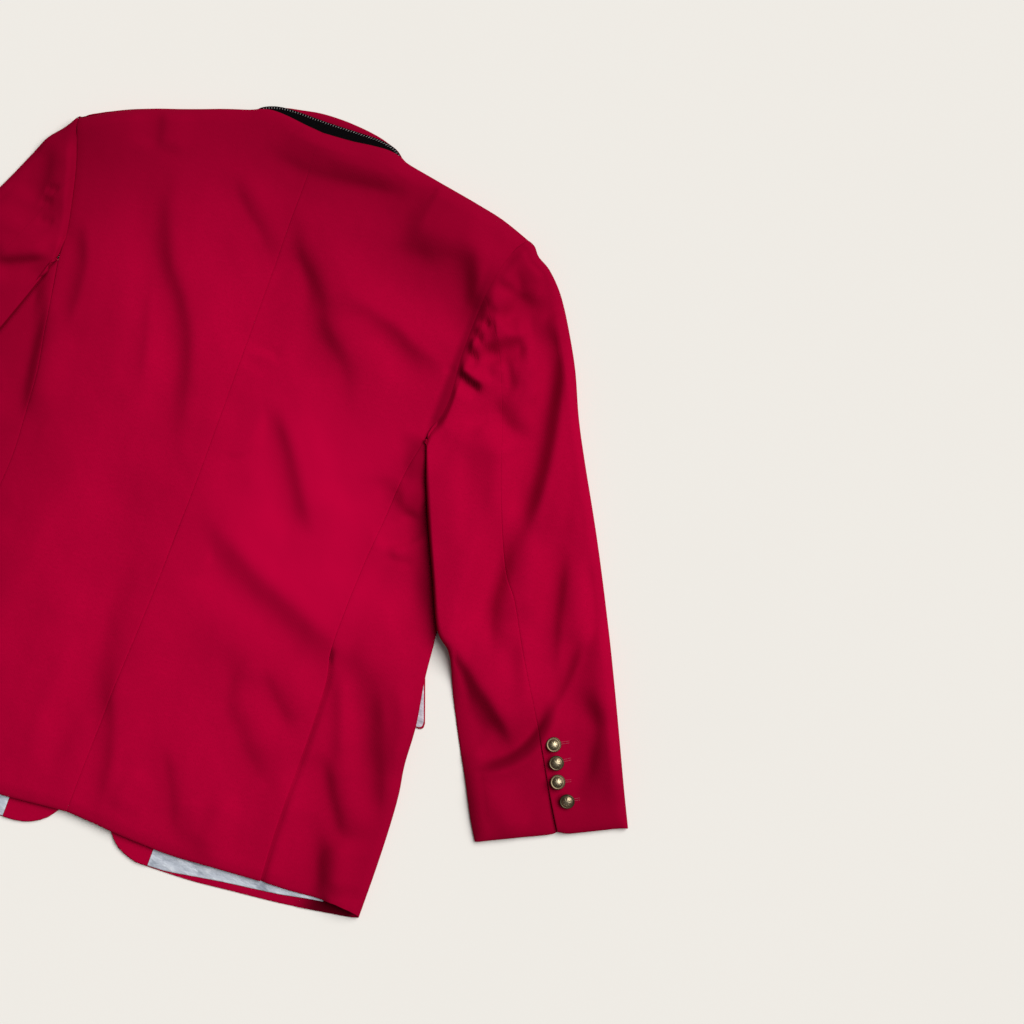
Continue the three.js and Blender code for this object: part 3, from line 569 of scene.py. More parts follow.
CENTRE_BACK = [[0, -363.5], [1, -250], [4, -150], [5, -50], [5, 50], [2, 200], [0, 362.5]]

RIGHT = Cut(
    name="right",
    sign=1,
    centre=CENTRE_BACK,
    hem=[[0, -363.5], [30, -365], [60, -367], [110, -368], [160, -364], [206, -360.5]],
    seam=[
        [206, -360.5], [202, -300], [200, -200], [197, -150], [191, -120], [190, -75], [191, -25],
        [194, 20], [197, 70], [202, 100], [206, 122], [212, 145], [212, 170], [209, 200], [208.5, 235],
        [210, 265], [215, 297], [222, 320], [232, 334],
    ],
    shoulder=[
        [0, 362.5], [30, 365], [50, 368], [68, 369.5], [82, 367.5], [93, 363.5], [140, 356], [170, 351],
        [200, 345], [232, 334],
    ],
    neck_point=93,
    fold=[
        [311, -361], [310, -310], [308, -265], [305, -230], [300, -200], [297, -160], [289, -115],
        [285, -80], [283, -62], [279, 0], [275, 60], [268, 130],
    ],
    side_hem=[[0, -360.5], [0.45, -359], [0.8, -355], [1, -355.5], [2, -364], [3, -372.5]],
    side_top=[[0, 112], [0.3, 105], [1, 97], [2, 94], [3, 86]],
    front_edge=[
        [47, -367], [24, -310], [4, -250], [-7, -180], [-8, -100], [-8, 20], [-4, 70], [14, 124], [42, 215],
        [68, 300], [84, 335], [93, 363.5],
    ],
    front_hem=[
        [47, -367], [60, -380], [80, -387.5], [95, -387.5], [140, -385.5], [180, -381], [220, -376.5],
        [249, -372.5],
    ],
    hem_on=[[280, -368.5], [300, -365]],
    facing_end=94,
    lining_end=272,
    lapel_roll=[[14, 124], [42, 215], [68, 300]],
    lapel_edge=[[19, 122], [70, 150], [162, 214]],
    lapel_gorge=[[68, 300], [112, 262], [162, 214]],
    sleeve_inner=[
        [206, 111], [220, 72], [240, 27], [260, -15], [283, -62], [302, -80], [320, -117], [340, -155],
        [360, -190], [380, -227], [393, -248],
    ],
    sleeve_outer=[
        [232, 334], [239, 330.5], [246, 322.5], [261, 314], [280, 295], [300, 265], [320, 230], [340, 187],
        [360, 150], [400, 80], [440, 5], [480, -75], [510, -137], [532, -181],
    ],
    cuff=[[393, -248], [425, -232], [460, -215], [468, -209], [480, -206], [520, -186], [532, -181]],
    elbow=[
        [0, 0.68], [0.15, 0.6], [0.3, 0.52], [0.45, 0.47], [0.6, 0.47], [0.75, 0.5], [0.88, 0.52], [1, 0.54],
    ],
    buttons=[[432, -128, -8], [441, -144, 5], [449, -161.5, -5], [464.5, -176, 14]],
    flap_end=307,
    flap_low=-162,
)

LEFT = Cut(
    name="left",
    sign=-1,
    centre=[[-out, y] for out, y in CENTRE_BACK],
    hem=[[0, -363.5], [30, -367], [67, -371], [110, -371], [150, -368], [196, -364]],
    seam=[
        [196, -364], [192, -300], [187, -200], [180, -120], [176, -50], [179, 0], [182, 40], [190, 80],
        [197, 120], [203, 155], [204, 180], [210, 210], [220, 250], [235, 290],
    ],
    shoulder=[
        [0, 362.5], [20, 364], [40, 366], [55, 366], [66, 363.5], [78, 358.5], [100, 351], [140, 336],
        [170, 325], [200, 311], [235, 290],
    ],
    neck_point=78,
    fold=[
        [306, -365], [305, -310], [300, -230], [292, -160], [285, -115], [279, -62], [273, 0], [268, 60],
        [262, 150],
    ],
    side_hem=[[0, -364], [0.5, -363], [1, -361], [2, -365], [3, -372]],
    side_top=[[0, 151], [0.3, 143], [1, 135], [2, 132], [3, 122]],
    front_edge=[
        [8, -365], [-8, -310], [-22, -250], [-28, -180], [-28, -100], [-28, 20], [-24, 70], [-4, 124],
        [30, 215], [58, 300], [70, 335], [78, 358.5],
    ],
    front_hem=[
        [8, -365], [20, -380], [40, -390], [70, -392], [110, -388], [160, -382], [210, -376], [244, -372],
    ],
    hem_on=[[275, -369]],
    facing_end=59,
    lining_end=236,
    lapel_roll=[[-22, 76], [-4, 124], [30, 215], [58, 300]],
    lapel_edge=[[-15, 74], [50, 130], [150, 206]],
    lapel_gorge=[[58, 300], [102, 256], [150, 206]],
    sleeve_inner=[
        [205, 150], [217, 110], [232, 65], [250, 15], [270, -40], [292, -95], [312, -145], [334, -205],
        [369, -301],
    ],
    sleeve_outer=[
        [235, 290], [243, 277], [257, 260], [267, 238], [283, 201], [310, 145], [347, 75], [390, -5],
        [430, -85], [468, -160], [508, -236],
    ],
    cuff=[[369, -301], [404, -285], [439, -268], [474, -252], [508, -236]],
    elbow=[[0, 0.6], [0.3, 0.52], [0.6, 0.5], [1, 0.54]],
    buttons=[[410, -184, 4], [418.5, -201, -6], [427, -218, 7], [435.5, -235, -4]],
    flap_end=302,
    flap_low=-163,
)

COLLAR_OUTER = [
    [-106, 303], [-94, 325], [-82, 346], [-72, 359.5], [-60, 368], [-45, 373.5], [-30, 377], [-10, 381],
    [10, 382.4], [30, 382], [50, 380], [65, 376.5], [78, 371.5], [90, 358], [104, 330], [112, 298],
]
COLLAR_INNER = [[-62, 303], [-58, 325], [-42, 344], [10, 352], [55, 346], [70, 328], [74, 296]]
FELT_OUTER = [
    [-72, 360.5], [-66, 366.2], [-56, 370.8], [-45, 373.2], [-30, 374.2], [0, 374.6], [30, 376.0],
    [50, 377.0], [62, 376.4], [74, 373.4], [84, 366],
]
FELT_INNER = [[-50, 346], [-20, 352], [10, 354.5], [40, 353], [66, 349]]
COLLAR_LONG, COLLAR_DEEP, FELT_LONG, FELT_DEEP = 265.0, 30.0, 140.0, 21.0


# ---------------------------------------------------------------------------------------- the lie


@dataclass(frozen=True)
class Lie:
    """How high the laid blazer stands."""

    loft: float = 13
    side_loft: float = 11
    side_slope: float = 70
    pad_out: float = 196
    pad_y: float = 300
    pad_rise: float = 9
    pad_wide: float = 62
    pad_high: float = 46
    sink: float = 6
    sink_wide: float = 30
    sink_low: float = -70
    sink_high: float = 80
    back_edge: float = 0.024
    neck_edge: float = 8.4
    hem_drop: float = 2.8
    side_under: float = 62
    roll: float = 12
    centre_gap: float = 0.0001
    stitch_gap: float = 0.03
    vent_top: float = -124
    vent_length: float = 22
    vent_underlap: float = 20
    vent_dip: float = LAP + 1.2
    vent_blend: float = 6
    vent_dip_from: float = -113
    vent_dip_length: float = 13
    lining_loft: float = 2.6
    lining_from: float = -318
    lining_ramp: float = 12
    body_deepest: float = 7
    body_highest: float = 16
    sleeve_deepest: float = 10
    sleeve_highest: float = 16
    layers_apart: float = 0.5
    spread: float = 20
    spread_ramp: float = 16
    lapped_ease: float = 1.3
    sleeve_loft: Rows = ((0, 8.5), (0.15, 10), (0.4, 12.5), (0.7, 12), (1, 10.5))
    sleeve_roll: float = 3.2
    sleeve_blend: float = 0.14
    sleeve_clear: float = 1.5
    let_down: tuple[float, float] = (9, 40)
    inseam: float = 0.22
    inner_roll: float = 16
    inner_sag: float = 1.4
    outer_roll: float = 11
    outer_sag: float = 0.6
    cuff_roll: float = 14
    cuff_drop: float = 2.6
    cuff_round: float = 5.5
    cuff_round_drop: float = 3.2


LIE = Lie()
FLAP_LENGTH, FLAP_DEEP, FLAP_CORNER, FLAP_RIM, FLAP_RAKE = 150.0, 54.0, 7.0, 1.4, 20.0
FLAP_STACK = CLOTH + SEAM + SATIN + SEAM
CUFF_BUTTON_RADIUS, CUFF_BUTTON_HEIGHT = 7.6, 5.0
FRONT_BUTTON_X, FRONT_BUTTON_YS, FRONT_BUTTON_RADIUS, FRONT_BUTTON_HEIGHT = 10.0, (62.0, -68.0), 10.0, 3.6
OVERLAP = rectangle(-8, 28, -262, 110)


def lapel_outline(cut: Cut) -> Outline:
    """The outline of a lapel on the floor."""

    def points(rows: Rows, count: int) -> Array:
        """Points of one edge."""
        out, y = Line(rows).at(np.linspace(0, 1, count + 1))
        return np.column_stack([cut.sign * out, y])

    parts = [points(cut.lapel_roll, 8), points(cut.lapel_gorge, 4), points(cut.lapel_edge, 6)[::-1]]
    return Outline(np.vstack(parts))


def flap_outline(cut: Cut) -> Outline:
    """The outline of a pocket flap on the floor."""
    ends = sorted([cut.sign * (cut.flap_end - FLAP_LENGTH), cut.sign * cut.flap_end])
    return rectangle(ends[0], ends[1], cut.flap_low, cut.flap_low + FLAP_DEEP)


def laid_under() -> list[tuple[Outline, float]]:
    """What lies under the fronts, and how much each piece lifts them."""
    around = [Line(COLLAR_OUTER).at(np.linspace(0, 1, 25)), Line(COLLAR_INNER).at(np.linspace(1, 0, 19))]
    collar = Outline(np.vstack([np.column_stack(part) for part in around]))
    buttons = [
        (rectangle(FRONT_BUTTON_X - FRONT_BUTTON_RADIUS, FRONT_BUTTON_X + FRONT_BUTTON_RADIUS,
                   y - FRONT_BUTTON_RADIUS, y + FRONT_BUTTON_RADIUS), FRONT_BUTTON_HEIGHT + SEAM)
        for y in FRONT_BUTTON_YS
    ]
    lapels = [(lapel_outline(cut), LAP) for cut in (RIGHT, LEFT)]
    flaps = [(flap_outline(cut), FLAP_STACK) for cut in (RIGHT, LEFT)]
    return [(collar, LAP), *lapels, *flaps, *buttons]


LAID_UNDER = laid_under()


def front_lift(sign: int, out: Array, y: Array) -> Array:
    """How much a front is lifted by what lies under it.

    Args:
        sign: 1 for the right front, which also lies on the left one, and -1 for the left.
        out: Distances from the centre line.
        y: Heights up the blazer.

    Returns:
        The lift in millimetres.
    """
    x = sign * out
    lift = np.zeros(np.shape(x))
    for outline, height in LAID_UNDER:
        apart = outline.outside(x, y)
        lift = np.maximum(lift, height * (1 - ease(apart, LIE.spread, LIE.spread + LIE.spread_ramp)))
    if sign < 0:
        return lift
    lapped = 1 - ease(OVERLAP.outside(x, y), LIE.spread, LIE.spread + LIE.spread_ramp)
    return np.maximum(lift, lapped * (front_lift(-1, -x, y) + LAP + LIE.lapped_ease))


class Half:
    """One half of the laid blazer: the heights of its layers."""

    def __init__(self, cut: Cut) -> None:
        """Works out the lines of the cut."""
        self.cut = cut
        self.sign = cut.sign
        self.seam = Line(cut.seam)
        self.fold = Line(cut.fold)
        self.side_hem, self.side_top = Line(cut.side_hem), Line(cut.side_top)
        self.side_start = cut.side_top[0][1]
        self.elbow = Line(cut.elbow)
        self.loft = Line(LIE.sleeve_loft)
        above = [row for row in cut.seam if row[1] >= cut.sleeve_inner[0][1] + 5]
        armhole = Line([cut.sleeve_inner[0], *above])
        self.sleeve = Patch(Line(cut.sleeve_inner), Line(cut.sleeve_outer), armhole, Line(cut.cuff))

    def pad(self, out: Array, y: Array) -> Array:
        """The rise over the shoulder pad."""
        across, up = (out - LIE.pad_out) / LIE.pad_wide, (y - LIE.pad_y) / LIE.pad_high
        return LIE.pad_rise * np.exp(-(across**2) - up**2)

    def plain_top(self, out: Array, y: Array) -> Array:
        """The outer face of the laid body without its creases."""
        inward = self.fold.first_at(y) - out
        return lerp(LIE.side_loft, LIE.loft, ease(inward, 0, LIE.side_slope)) + self.pad(out, y)

    def smooth_top(self, out: Array, y: Array) -> Array:
        """The outer face of the laid body, with its main creases."""
        creases = sum(fold.at(self.sign * out, y) for fold in BODY_CREASES)
        return self.plain_top(out, y) + settled(creases, LIE.body_deepest, LIE.body_highest)

    def body_top(self, out: Array, y: Array) -> Array:
        """The outer face of the laid body, with its fine folds too."""
        x = self.sign * out
        fine = sum(fold.at(x, y) for fold in FINE_CREASES)
        return self.smooth_top(out, y) + fine + SWELL.at(x, y) + RUMPLE.at(x, y)

    def side_face(self, out: Array, y: Array, fine: bool = True) -> Array:
        """The outer face of the side body, which sinks under the sleeve and dips into its vent."""
        past = out - self.seam.first_at(np.minimum(y, self.side_start))
        sink = LIE.sink * ease(past, 0, LIE.sink_wide) * ease(y, LIE.sink_low, LIE.sink_high)
        below = ease(LIE.vent_dip_from - y, 0, LIE.vent_dip_length)
        dip = LIE.vent_dip * below * (1 - ease(past, 0, LIE.vent_blend))
        if not fine:
            return self.plain_top(out, y) - sink - dip
        return self.body_top(out, y) - sink - dip + sum(fold.at(out, y) for fold in SIDE_CREASES)

    def lift(self, out: Array, y: Array) -> Array:
        """How much the front is lifted by what lies under it."""
        return front_lift(self.sign, out, y)

    def bed(self, out: Array, y: Array) -> Array:
        """The lowest that the outer face can lie over the front and its lining."""
        over_lining = ease(LIE.lining_from - y, 0, LIE.lining_ramp)
        return self.lift(out, y) + 2 * LAP + SEAM + LIE.lining_loft * over_lining

    def sleeve_bed(self, out: Array, y: Array) -> Array:
        """The height of what the sleeve lies on."""
        past = np.maximum(out - self.fold.first_at(y), y - self.side_start)
        return (self.side_face(out, y, fine=False) + LIE.sleeve_clear) * (1 - ease(past, *LIE.let_down))

    def sleeve_top(self, out: Array, y: Array, along: Array) -> Array:
        """The height of the sleeve's upper layer."""
        x = self.sign * out
        folds = sum(fold.at(x, y) for fold in SLEEVE_CREASES[self.cut.name])
        laid = self.sleeve_bed(out, y) + self.loft.second_at(along) + self.pad(out, y)
        seam = np.maximum(self.smooth_top(out, y) + LIE.sleeve_roll, self.sleeve_bed(out, y) + 2 * LAP)
        puckers = settled(folds, LIE.sleeve_deepest, LIE.sleeve_highest) * ease(along, 0.0, 0.02)
        level = lerp(seam, laid, ease(along, 0, LIE.sleeve_blend)) + puckers
        uneven = SWELL.at(x, y) + RUMPLE.at(x, y)
        return resting(level + uneven, self.sleeve_bed(out, y) + 2 * CLOTH + LIE.layers_apart)


# ---------------------------------------------------------------------------------------- materials


class Value:
    """A number that a material works out for each point of a surface."""

    def __init__(self, look: Look, socket: bpy.types.NodeSocket) -> None:
        """Wraps a node's output."""
        self.look, self.socket = look, socket

    def _math(self, operation: str, *others: Value | float) -> Value:
        """Adds one Math node to it."""
        node = self.look.node("ShaderNodeMath", operation=operation)
        for index, value in enumerate((self, *others)):
            self.look.feed(node.inputs[index], value)
        return Value(self.look, node.outputs[0])

    def __add__(self, other: Value | float) -> Value:
        """Sum."""
        return self._math("ADD", other)

    def __sub__(self, other: Value | float) -> Value:
        """Difference."""
        return self._math("SUBTRACT", other)

    def __mul__(self, other: Value | float) -> Value:
        """Product."""
        return self._math("MULTIPLY", other)

    def root(self) -> Value:
        """Square root."""
        return self._math("SQRT")

    def turn_from(self, across: Value) -> Value:
        """The angle whose rise is this and whose run is another value."""
        return self._math("ARCTAN2", across)

    def sine(self) -> Value:
        """Sine."""
        return self._math("SINE")

    def size(self) -> Value:
        """Distance from nought."""
        return self._math("ABSOLUTE")

    def between(self, low: float, high: float) -> Value:
        """Goes smoothly from 0 at low to 1 at high."""
        node = self.look.node("ShaderNodeMapRange", interpolation_type="SMOOTHSTEP", clamp=True)
        self.look.feed(node.inputs["Value"], self)
        node.inputs["From Min"].default_value, node.inputs["From Max"].default_value = low, high
        return Value(self.look, node.outputs[0])


Triple = tuple[float, float, float]
Colour = Triple


class Look:
    """A node material that is being put together."""

    def __init__(self, name: str, **shader: float | Colour) -> None:
        """Starts a material.

        Args:
            name: Its name.
            shader: Settings of the shader that are the same all over, with _ for spaces.
        """
        self.material = bpy.data.materials.new(name)
        self.material.use_nodes = True
        self.tree = self.material.node_tree
        self.shader = self.tree.nodes["Principled BSDF"]
        for key, value in shader.items():
            socket = self.shader.inputs[key.replace("_", " ").title().replace("Ior", "IOR")]
            socket.default_value = (*value, 1.0) if isinstance(value, tuple) else value
        self.coordinates = self.node("ShaderNodeTexCoord")

    def node(self, kind: str, **settings: object) -> bpy.types.Node:
        """Adds a node with its settings."""
        made = self.tree.nodes.new(kind)
        for key, value in settings.items():
            setattr(made, key, value)
        return made

    def feed(self, socket: bpy.types.NodeSocket, value: Value | float) -> None:
        """Links a value to a node's input, or sets a number there."""
        if isinstance(value, Value):
            self.tree.links.new(value.socket, socket)
        else:
            socket.default_value = value

    def place(self, scale: Triple = (1, 1, 1)) -> bpy.types.NodeSocket:
        """The surface's own coordinates in metres, stretched."""
        node = self.node("ShaderNodeMapping")
        self.tree.links.new(self.coordinates.outputs["Object"], node.inputs["Vector"])
        node.inputs["Scale"].default_value = scale
        return node.outputs["Vector"]

    def axis(self, index: int) -> Value:
        """One of the surface's own coordinates, in metres."""
        node = self.node("ShaderNodeSeparateXYZ")
        self.tree.links.new(self.place(), node.inputs[0])
        return Value(self, node.outputs[index])

    def noise(self, scale: float, detail: float = 2, stretch: Triple = (1, 1, 1)) -> Value:
        """Cloudy noise.

        Args:
            scale: How many turns it has a metre.
            detail: How many finer layers it has.
            stretch: How much closer the turns are along each axis.

        Returns:
            The noise, from 0 to 1.
        """
        node = self.node("ShaderNodeTexNoise")
        self.tree.links.new(self.place(stretch), node.inputs["Vector"])
        node.inputs["Scale"].default_value, node.inputs["Detail"].default_value = scale, detail
        return Value(self, node.outputs["Fac"])

    def specks(self, scale: float) -> Value:
        """The distance to the nearest of many scattered points, in shares of their spacing."""
        node = self.node("ShaderNodeTexVoronoi")
        self.tree.links.new(self.place(), node.inputs["Vector"])
        node.inputs["Scale"].default_value = scale
        return Value(self, node.outputs["Distance"])

    def paint(self, *layers: tuple[Value | None, Colour]) -> None:
        """Sets the colour.

        Args:
            layers: Shares and colours: the first colour lies all over, each other one where its share is 1.
        """
        below = None
        for share, colour in layers:
            if below is None:
                below = colour
                continue
            node = self.node("ShaderNodeMix", data_type="RGBA")
            self.feed(node.inputs["Factor"], share)
            for socket, shade in ((node.inputs[6], below), (node.inputs[7], colour)):
                if isinstance(shade, bpy.types.NodeSocket):
                    self.tree.links.new(shade, socket)
                else:
                    socket.default_value = (*shade, 1.0)
            below = node.outputs[2]
        self.tree.links.new(below, self.shader.inputs["Base Color"])

    def gloss(self, roughness: Value) -> None:
        """Sets a roughness that varies."""
        self.feed(self.shader.inputs["Roughness"], roughness)

    def bump(self, *heights: tuple[Value, float]) -> None:
        """Raises the surface by values, each from 0 to its height in millimetres."""
        normal = None
        for value, height in heights:
            node = self.node("ShaderNodeBump")
            self.feed(node.inputs["Height"], value)
            node.inputs["Distance"].default_value = height * MM
            if normal is not None:
                self.tree.links.new(normal, node.inputs["Normal"])
            normal = node.outputs["Normal"]
        self.tree.links.new(normal, self.shader.inputs["Normal"])


@dataclass(frozen=True)
class WoolFinish:
    """Napped wool flannel with a faint twill under the nap, and painted light and shade over it."""

    name: str = "wool"
    body: Colour = (0.357, 0.0003, 0.0277)
    deep: Colour = (0.262, 0.0003, 0.020)
    # The next two colours are painted shade: the first for broad shade and folds, the second for the darkest
    # gaps.
    painted_shade: Colour = (0.170, 0.0001, 0.013)
    painted_crevice_shade: Colour = (0.040, 0.0, 0.003)
    # This lighter colour marks the slubs and also serves as the painted light of the broad panels.
    high: Colour = (0.420, 0.0004, 0.034)
    lint: Colour = (0.75, 0.55, 0.58)
    twill: float = 2200.0

    def make(self) -> bpy.types.Material:
        """Builds the material."""
        look = Look(self.name, roughness=0.92, specular_ior_level=0.012, sheen_weight=0.05,
                    sheen_roughness=0.5, sheen_tint=(0.9, 0.0, 0.10))
        cloud = look.noise(16, 2)
        fibre = look.noise(900, 3, (1.0, 0.5, 1.0))
        slub = look.noise(240, 2, (0.6, 1.6, 1.0))
        diagonal = ((look.axis(0) + look.axis(1)) * self.twill).sine()
        speck = look.specks(17).between(0.011, 0.005) * look.noise(6, 0).between(0.50, 0.56)
        look.paint(
            (None, self.body),
            (slub.between(0.50, 0.70) * 0.25, self.high),
            (cloud.between(0.35, 0.75) * 0.25, self.deep),
            (fibre.between(0.55, 0.30) * 0.35, self.deep),
            # Painted light and shade follow: the broad panels, then painted shade in the tightest folds and
            # gaps.
            *self.panels(look),
            *self.hollows(look),
            (speck, self.lint),
        )
        look.bump((fibre, 0.10), (slub, 0.10), (diagonal, 0.015))
        return look.material

    def panels(self, look: Look) -> list[tuple[Value, Colour]]:
        """Painted light and shade of the wool, from places in metres: a painted pool of light on the middle
        of the back, right of centre, and painted shade towards the collar, the hem and both sides.
        """
        x, y = look.axis(0), look.axis(1)
        # Painted light: a broad patch where the middle of the back lies in fuller light.
        painted_light_patch = x.between(-0.02, 0.10) * x.between(0.27, 0.15)
        painted_light_patch = painted_light_patch * y.between(-0.18, -0.05) * y.between(0.16, 0.05)
        # Painted shade towards the collar, towards the hem, along the left side and over the lower right side
        # and the sleeve.
        yoke = y.between(0.15, 0.37)
        skirt = y.between(-0.20, -0.34)
        left = x.between(-0.06, -0.26)
        right = x.between(0.19, 0.30) * y.between(-0.03, -0.20) * 0.42 + x.between(0.34, 0.50) * 0.16
        return [
            (painted_light_patch * 0.8, self.high),
            (yoke * 0.64, self.painted_shade),
            (skirt * 0.12, self.painted_shade),
            (left * 0.62, self.painted_shade),
            (right, self.painted_shade),
        ]

    def hollows(self, look: Look) -> list[tuple[Value, Colour]]:
        """Painted shade in the tightest folds and gaps, from places in metres: beside the right armpit under
        the sleeve's edge, along the armhole seam, in the sleeve's crook, in a tuck by the armhole and in the
        hem's open corner.
        """
        x, y = look.axis(0), look.axis(1)
        # Painted shadow of the sleeve on the body beside the right armpit.
        from_sleeve = x + y * 0.445
        armpit = from_sleeve.between(0.222, 0.2515) * from_sleeve.between(0.257, 0.2545)
        armpit = armpit * y.between(-0.085, -0.02) * y.between(0.118, 0.100)
        # Painted shade along the armhole seam.
        armhole = x.between(0.199, 0.207) * x.between(0.219, 0.211)
        armhole = armhole * y.between(0.115, 0.135) * y.between(0.31, 0.27)
        # Painted shade in the crook of the sleeve.
        bend = ((x - 0.350) * (x - 0.350) + (y + 0.110) * (y + 0.110)).root()
        crook = bend.between(0.057, 0.066) * bend.between(0.077, 0.069)
        crook = crook * x.between(0.358, 0.385) * y.between(-0.08, -0.115)
        # Painted shade in a tuck beside the armhole.
        from_tuck = ((x - 0.225) * 0.294 + (y - 0.183) * 0.956).size()
        along_tuck = ((x - 0.225) * 0.956 - (y - 0.183) * 0.294).size()
        tuck = from_tuck.between(0.0065, 0.0005) * along_tuck.between(0.017, 0.008)
        # Painted shade in the open corner of the hem.
        over_hem = y + (x - 0.28).size() * 0.12
        opening = x.between(0.240, 0.268) * x.between(0.307, 0.300) * over_hem.between(-0.3555, -0.3570)
        return [
            (armpit * 0.85, self.painted_shade),
            (armhole * 0.8, self.painted_shade),
            (crook * 0.9, self.painted_shade),
            (tuck * 0.7, self.painted_crevice_shade),
            (opening * 0.85, self.painted_crevice_shade),
        ]


@dataclass(frozen=True)
class FeltFinish:
    """Dense black felt."""

    name: str = "felt"
    body: Colour = (0.0016, 0.0012, 0.0016)
    fibre: Colour = (0.006, 0.005, 0.007)

    def make(self) -> bpy.types.Material:
        """Builds the material."""
        look = Look(self.name, roughness=1.0, specular_ior_level=0.05)
        hairs = look.noise(1400, 3)
        clumps = look.noise(260, 2)
        look.paint((None, self.body), (hairs.between(0.5, 0.75) * 0.8, self.fibre))
        look.bump((hairs, 0.12), (clumps, 0.20))
        return look.material


@dataclass(frozen=True)
class SatinFinish:
    """Smooth lining satin with a fine rib and soft rumples."""

    name: str
    body: Colour
    shade: Colour
    light: Colour

    def make(self) -> bpy.types.Material:
        """Builds the material."""
        look = Look(self.name, specular_ior_level=0.45)
        rumple = look.noise(60, 3, (1.0, 2.2, 1.0))
        rib = (look.axis(1) * 5200).sine()
        cloud = look.noise(110, 2)
        look.paint(
            (None, self.body),
            (rumple.between(0.52, 0.72) * 0.75, self.light),
            (rumple.between(0.48, 0.26) * 0.80, self.shade),
        )
        look.gloss(cloud * 0.2 + 0.32)
        look.bump((rumple, 2.2), (rib, 0.02))
        return look.material


@dataclass(frozen=True)
class BrassFinish:
    """Antiqued cast brass: dark with patina in its hollows and rubbed bright on its high places, with a
    painted highlight over its middle and painted shade round its rim.
    """

    name: str = "brass"
    rubbed: Colour = (0.58, 0.49, 0.33)
    # Patina in the hollows, also used as painted shade round the rim.
    patina_and_painted_shade: Colour = (0.050, 0.034, 0.020)
    dull: Colour = (0.25, 0.195, 0.12)
    petals: int = 8

    def make(self) -> bpy.types.Material:
        """Builds the material from the face's own map, whose middle is (0.5, 0.5)."""
        look = Look(self.name, metallic=1.0)
        node = look.node("ShaderNodeSeparateXYZ")
        look.tree.links.new(look.coordinates.outputs["UV"], node.inputs[0])
        across, up = Value(look, node.outputs[0]) - 0.5, Value(look, node.outputs[1]) - 0.5
        radius = (across * across + up * up).root() * 2
        wear = look.noise(700, 3)
        pits = look.noise(2600, 2)
        ring = radius.between(0.16, 0.30), radius.between(0.66, 0.56)
        relief = (up.turn_from(across) * self.petals).sine() * ring[0] * ring[1]
        groove = radius.between(0.60, 0.70) * radius.between(0.84, 0.76)
        look.paint(
            (None, self.dull),
            # Rubbed brass and a painted highlight: brighter towards the middle of the dome.
            (radius.between(0.66, 0.10) * 0.75, self.rubbed),
            (relief.between(0.1, 0.9) * 0.18, self.rubbed),
            (relief.between(-0.1, -0.9) * 0.28, self.patina_and_painted_shade),
            (groove * 0.45, self.patina_and_painted_shade),
            # Painted shade round the rim, in the patina colour.
            (radius.between(0.74, 0.94) * 0.85, self.patina_and_painted_shade),
            (wear.between(0.50, 0.30) * 0.4, self.patina_and_painted_shade),
        )
        look.gloss(wear * 0.3 + 0.30)
        look.bump((relief, 0.07), (pits, 0.05))
        return look.material


@dataclass(frozen=True)
class ThreadFinish:
    """Twisted sewing thread."""

    name: str
    body: Colour
    shade: Colour

    def make(self) -> bpy.types.Material:
        """Builds the material."""
        look = Look(self.name, roughness=0.7, specular_ior_level=0.1)
        twist = ((look.axis(0) - look.axis(1)) * 9000).sine()
        fuzz = look.noise(3000, 2)
        look.paint((None, self.body), (twist.between(0.2, 0.9) * 0.6, self.shade))
        look.bump((twist, 0.04), (fuzz, 0.03))
        return look.material


SILVER_SATIN = SatinFinish("body_lining", (0.45, 0.49, 0.56), (0.20, 0.23, 0.29), (0.68, 0.72, 0.78))
LILAC_SATIN = SatinFinish("flap_lining", (0.46, 0.42, 0.49), (0.27, 0.24, 0.30), (0.60, 0.56, 0.63))
WHITE_THREAD = ThreadFinish("white_thread", (0.42, 0.40, 0.41), (0.20, 0.19, 0.20))
RED_THREAD = ThreadFinish("red_thread", (0.46, 0.045, 0.095), (0.20, 0.006, 0.025))


@dataclass(frozen=True)
class FloorFinish:
    """A plain pale tabletop."""

    name: str = "floor"
    body: Colour = (0.772, 0.756, 0.722)
    shade: Colour = (0.7604, 0.7447, 0.7112)

    def make(self) -> bpy.types.Material:
        """Builds the material."""
        look = Look(self.name, roughness=0.9, specular_ior_level=0.1)
        cloud = look.noise(3, 2)
        grain = look.noise(420, 2)
        look.paint((None, self.body), (cloud.between(0.4, 0.8) * 0.5, self.shade))
        look.bump((grain, 0.02))
        return look.material


# ---------------------------------------------------------------------------------------- cloth


@dataclass(frozen=True)
class Flat:
    """How a piece was cut, in metres: its width and length, and its area where it isn't a rectangle."""

    width: float
    length: float
    area: float | None = None
    held: str = "laid"
    rests_on: tuple[str, ...] = ()


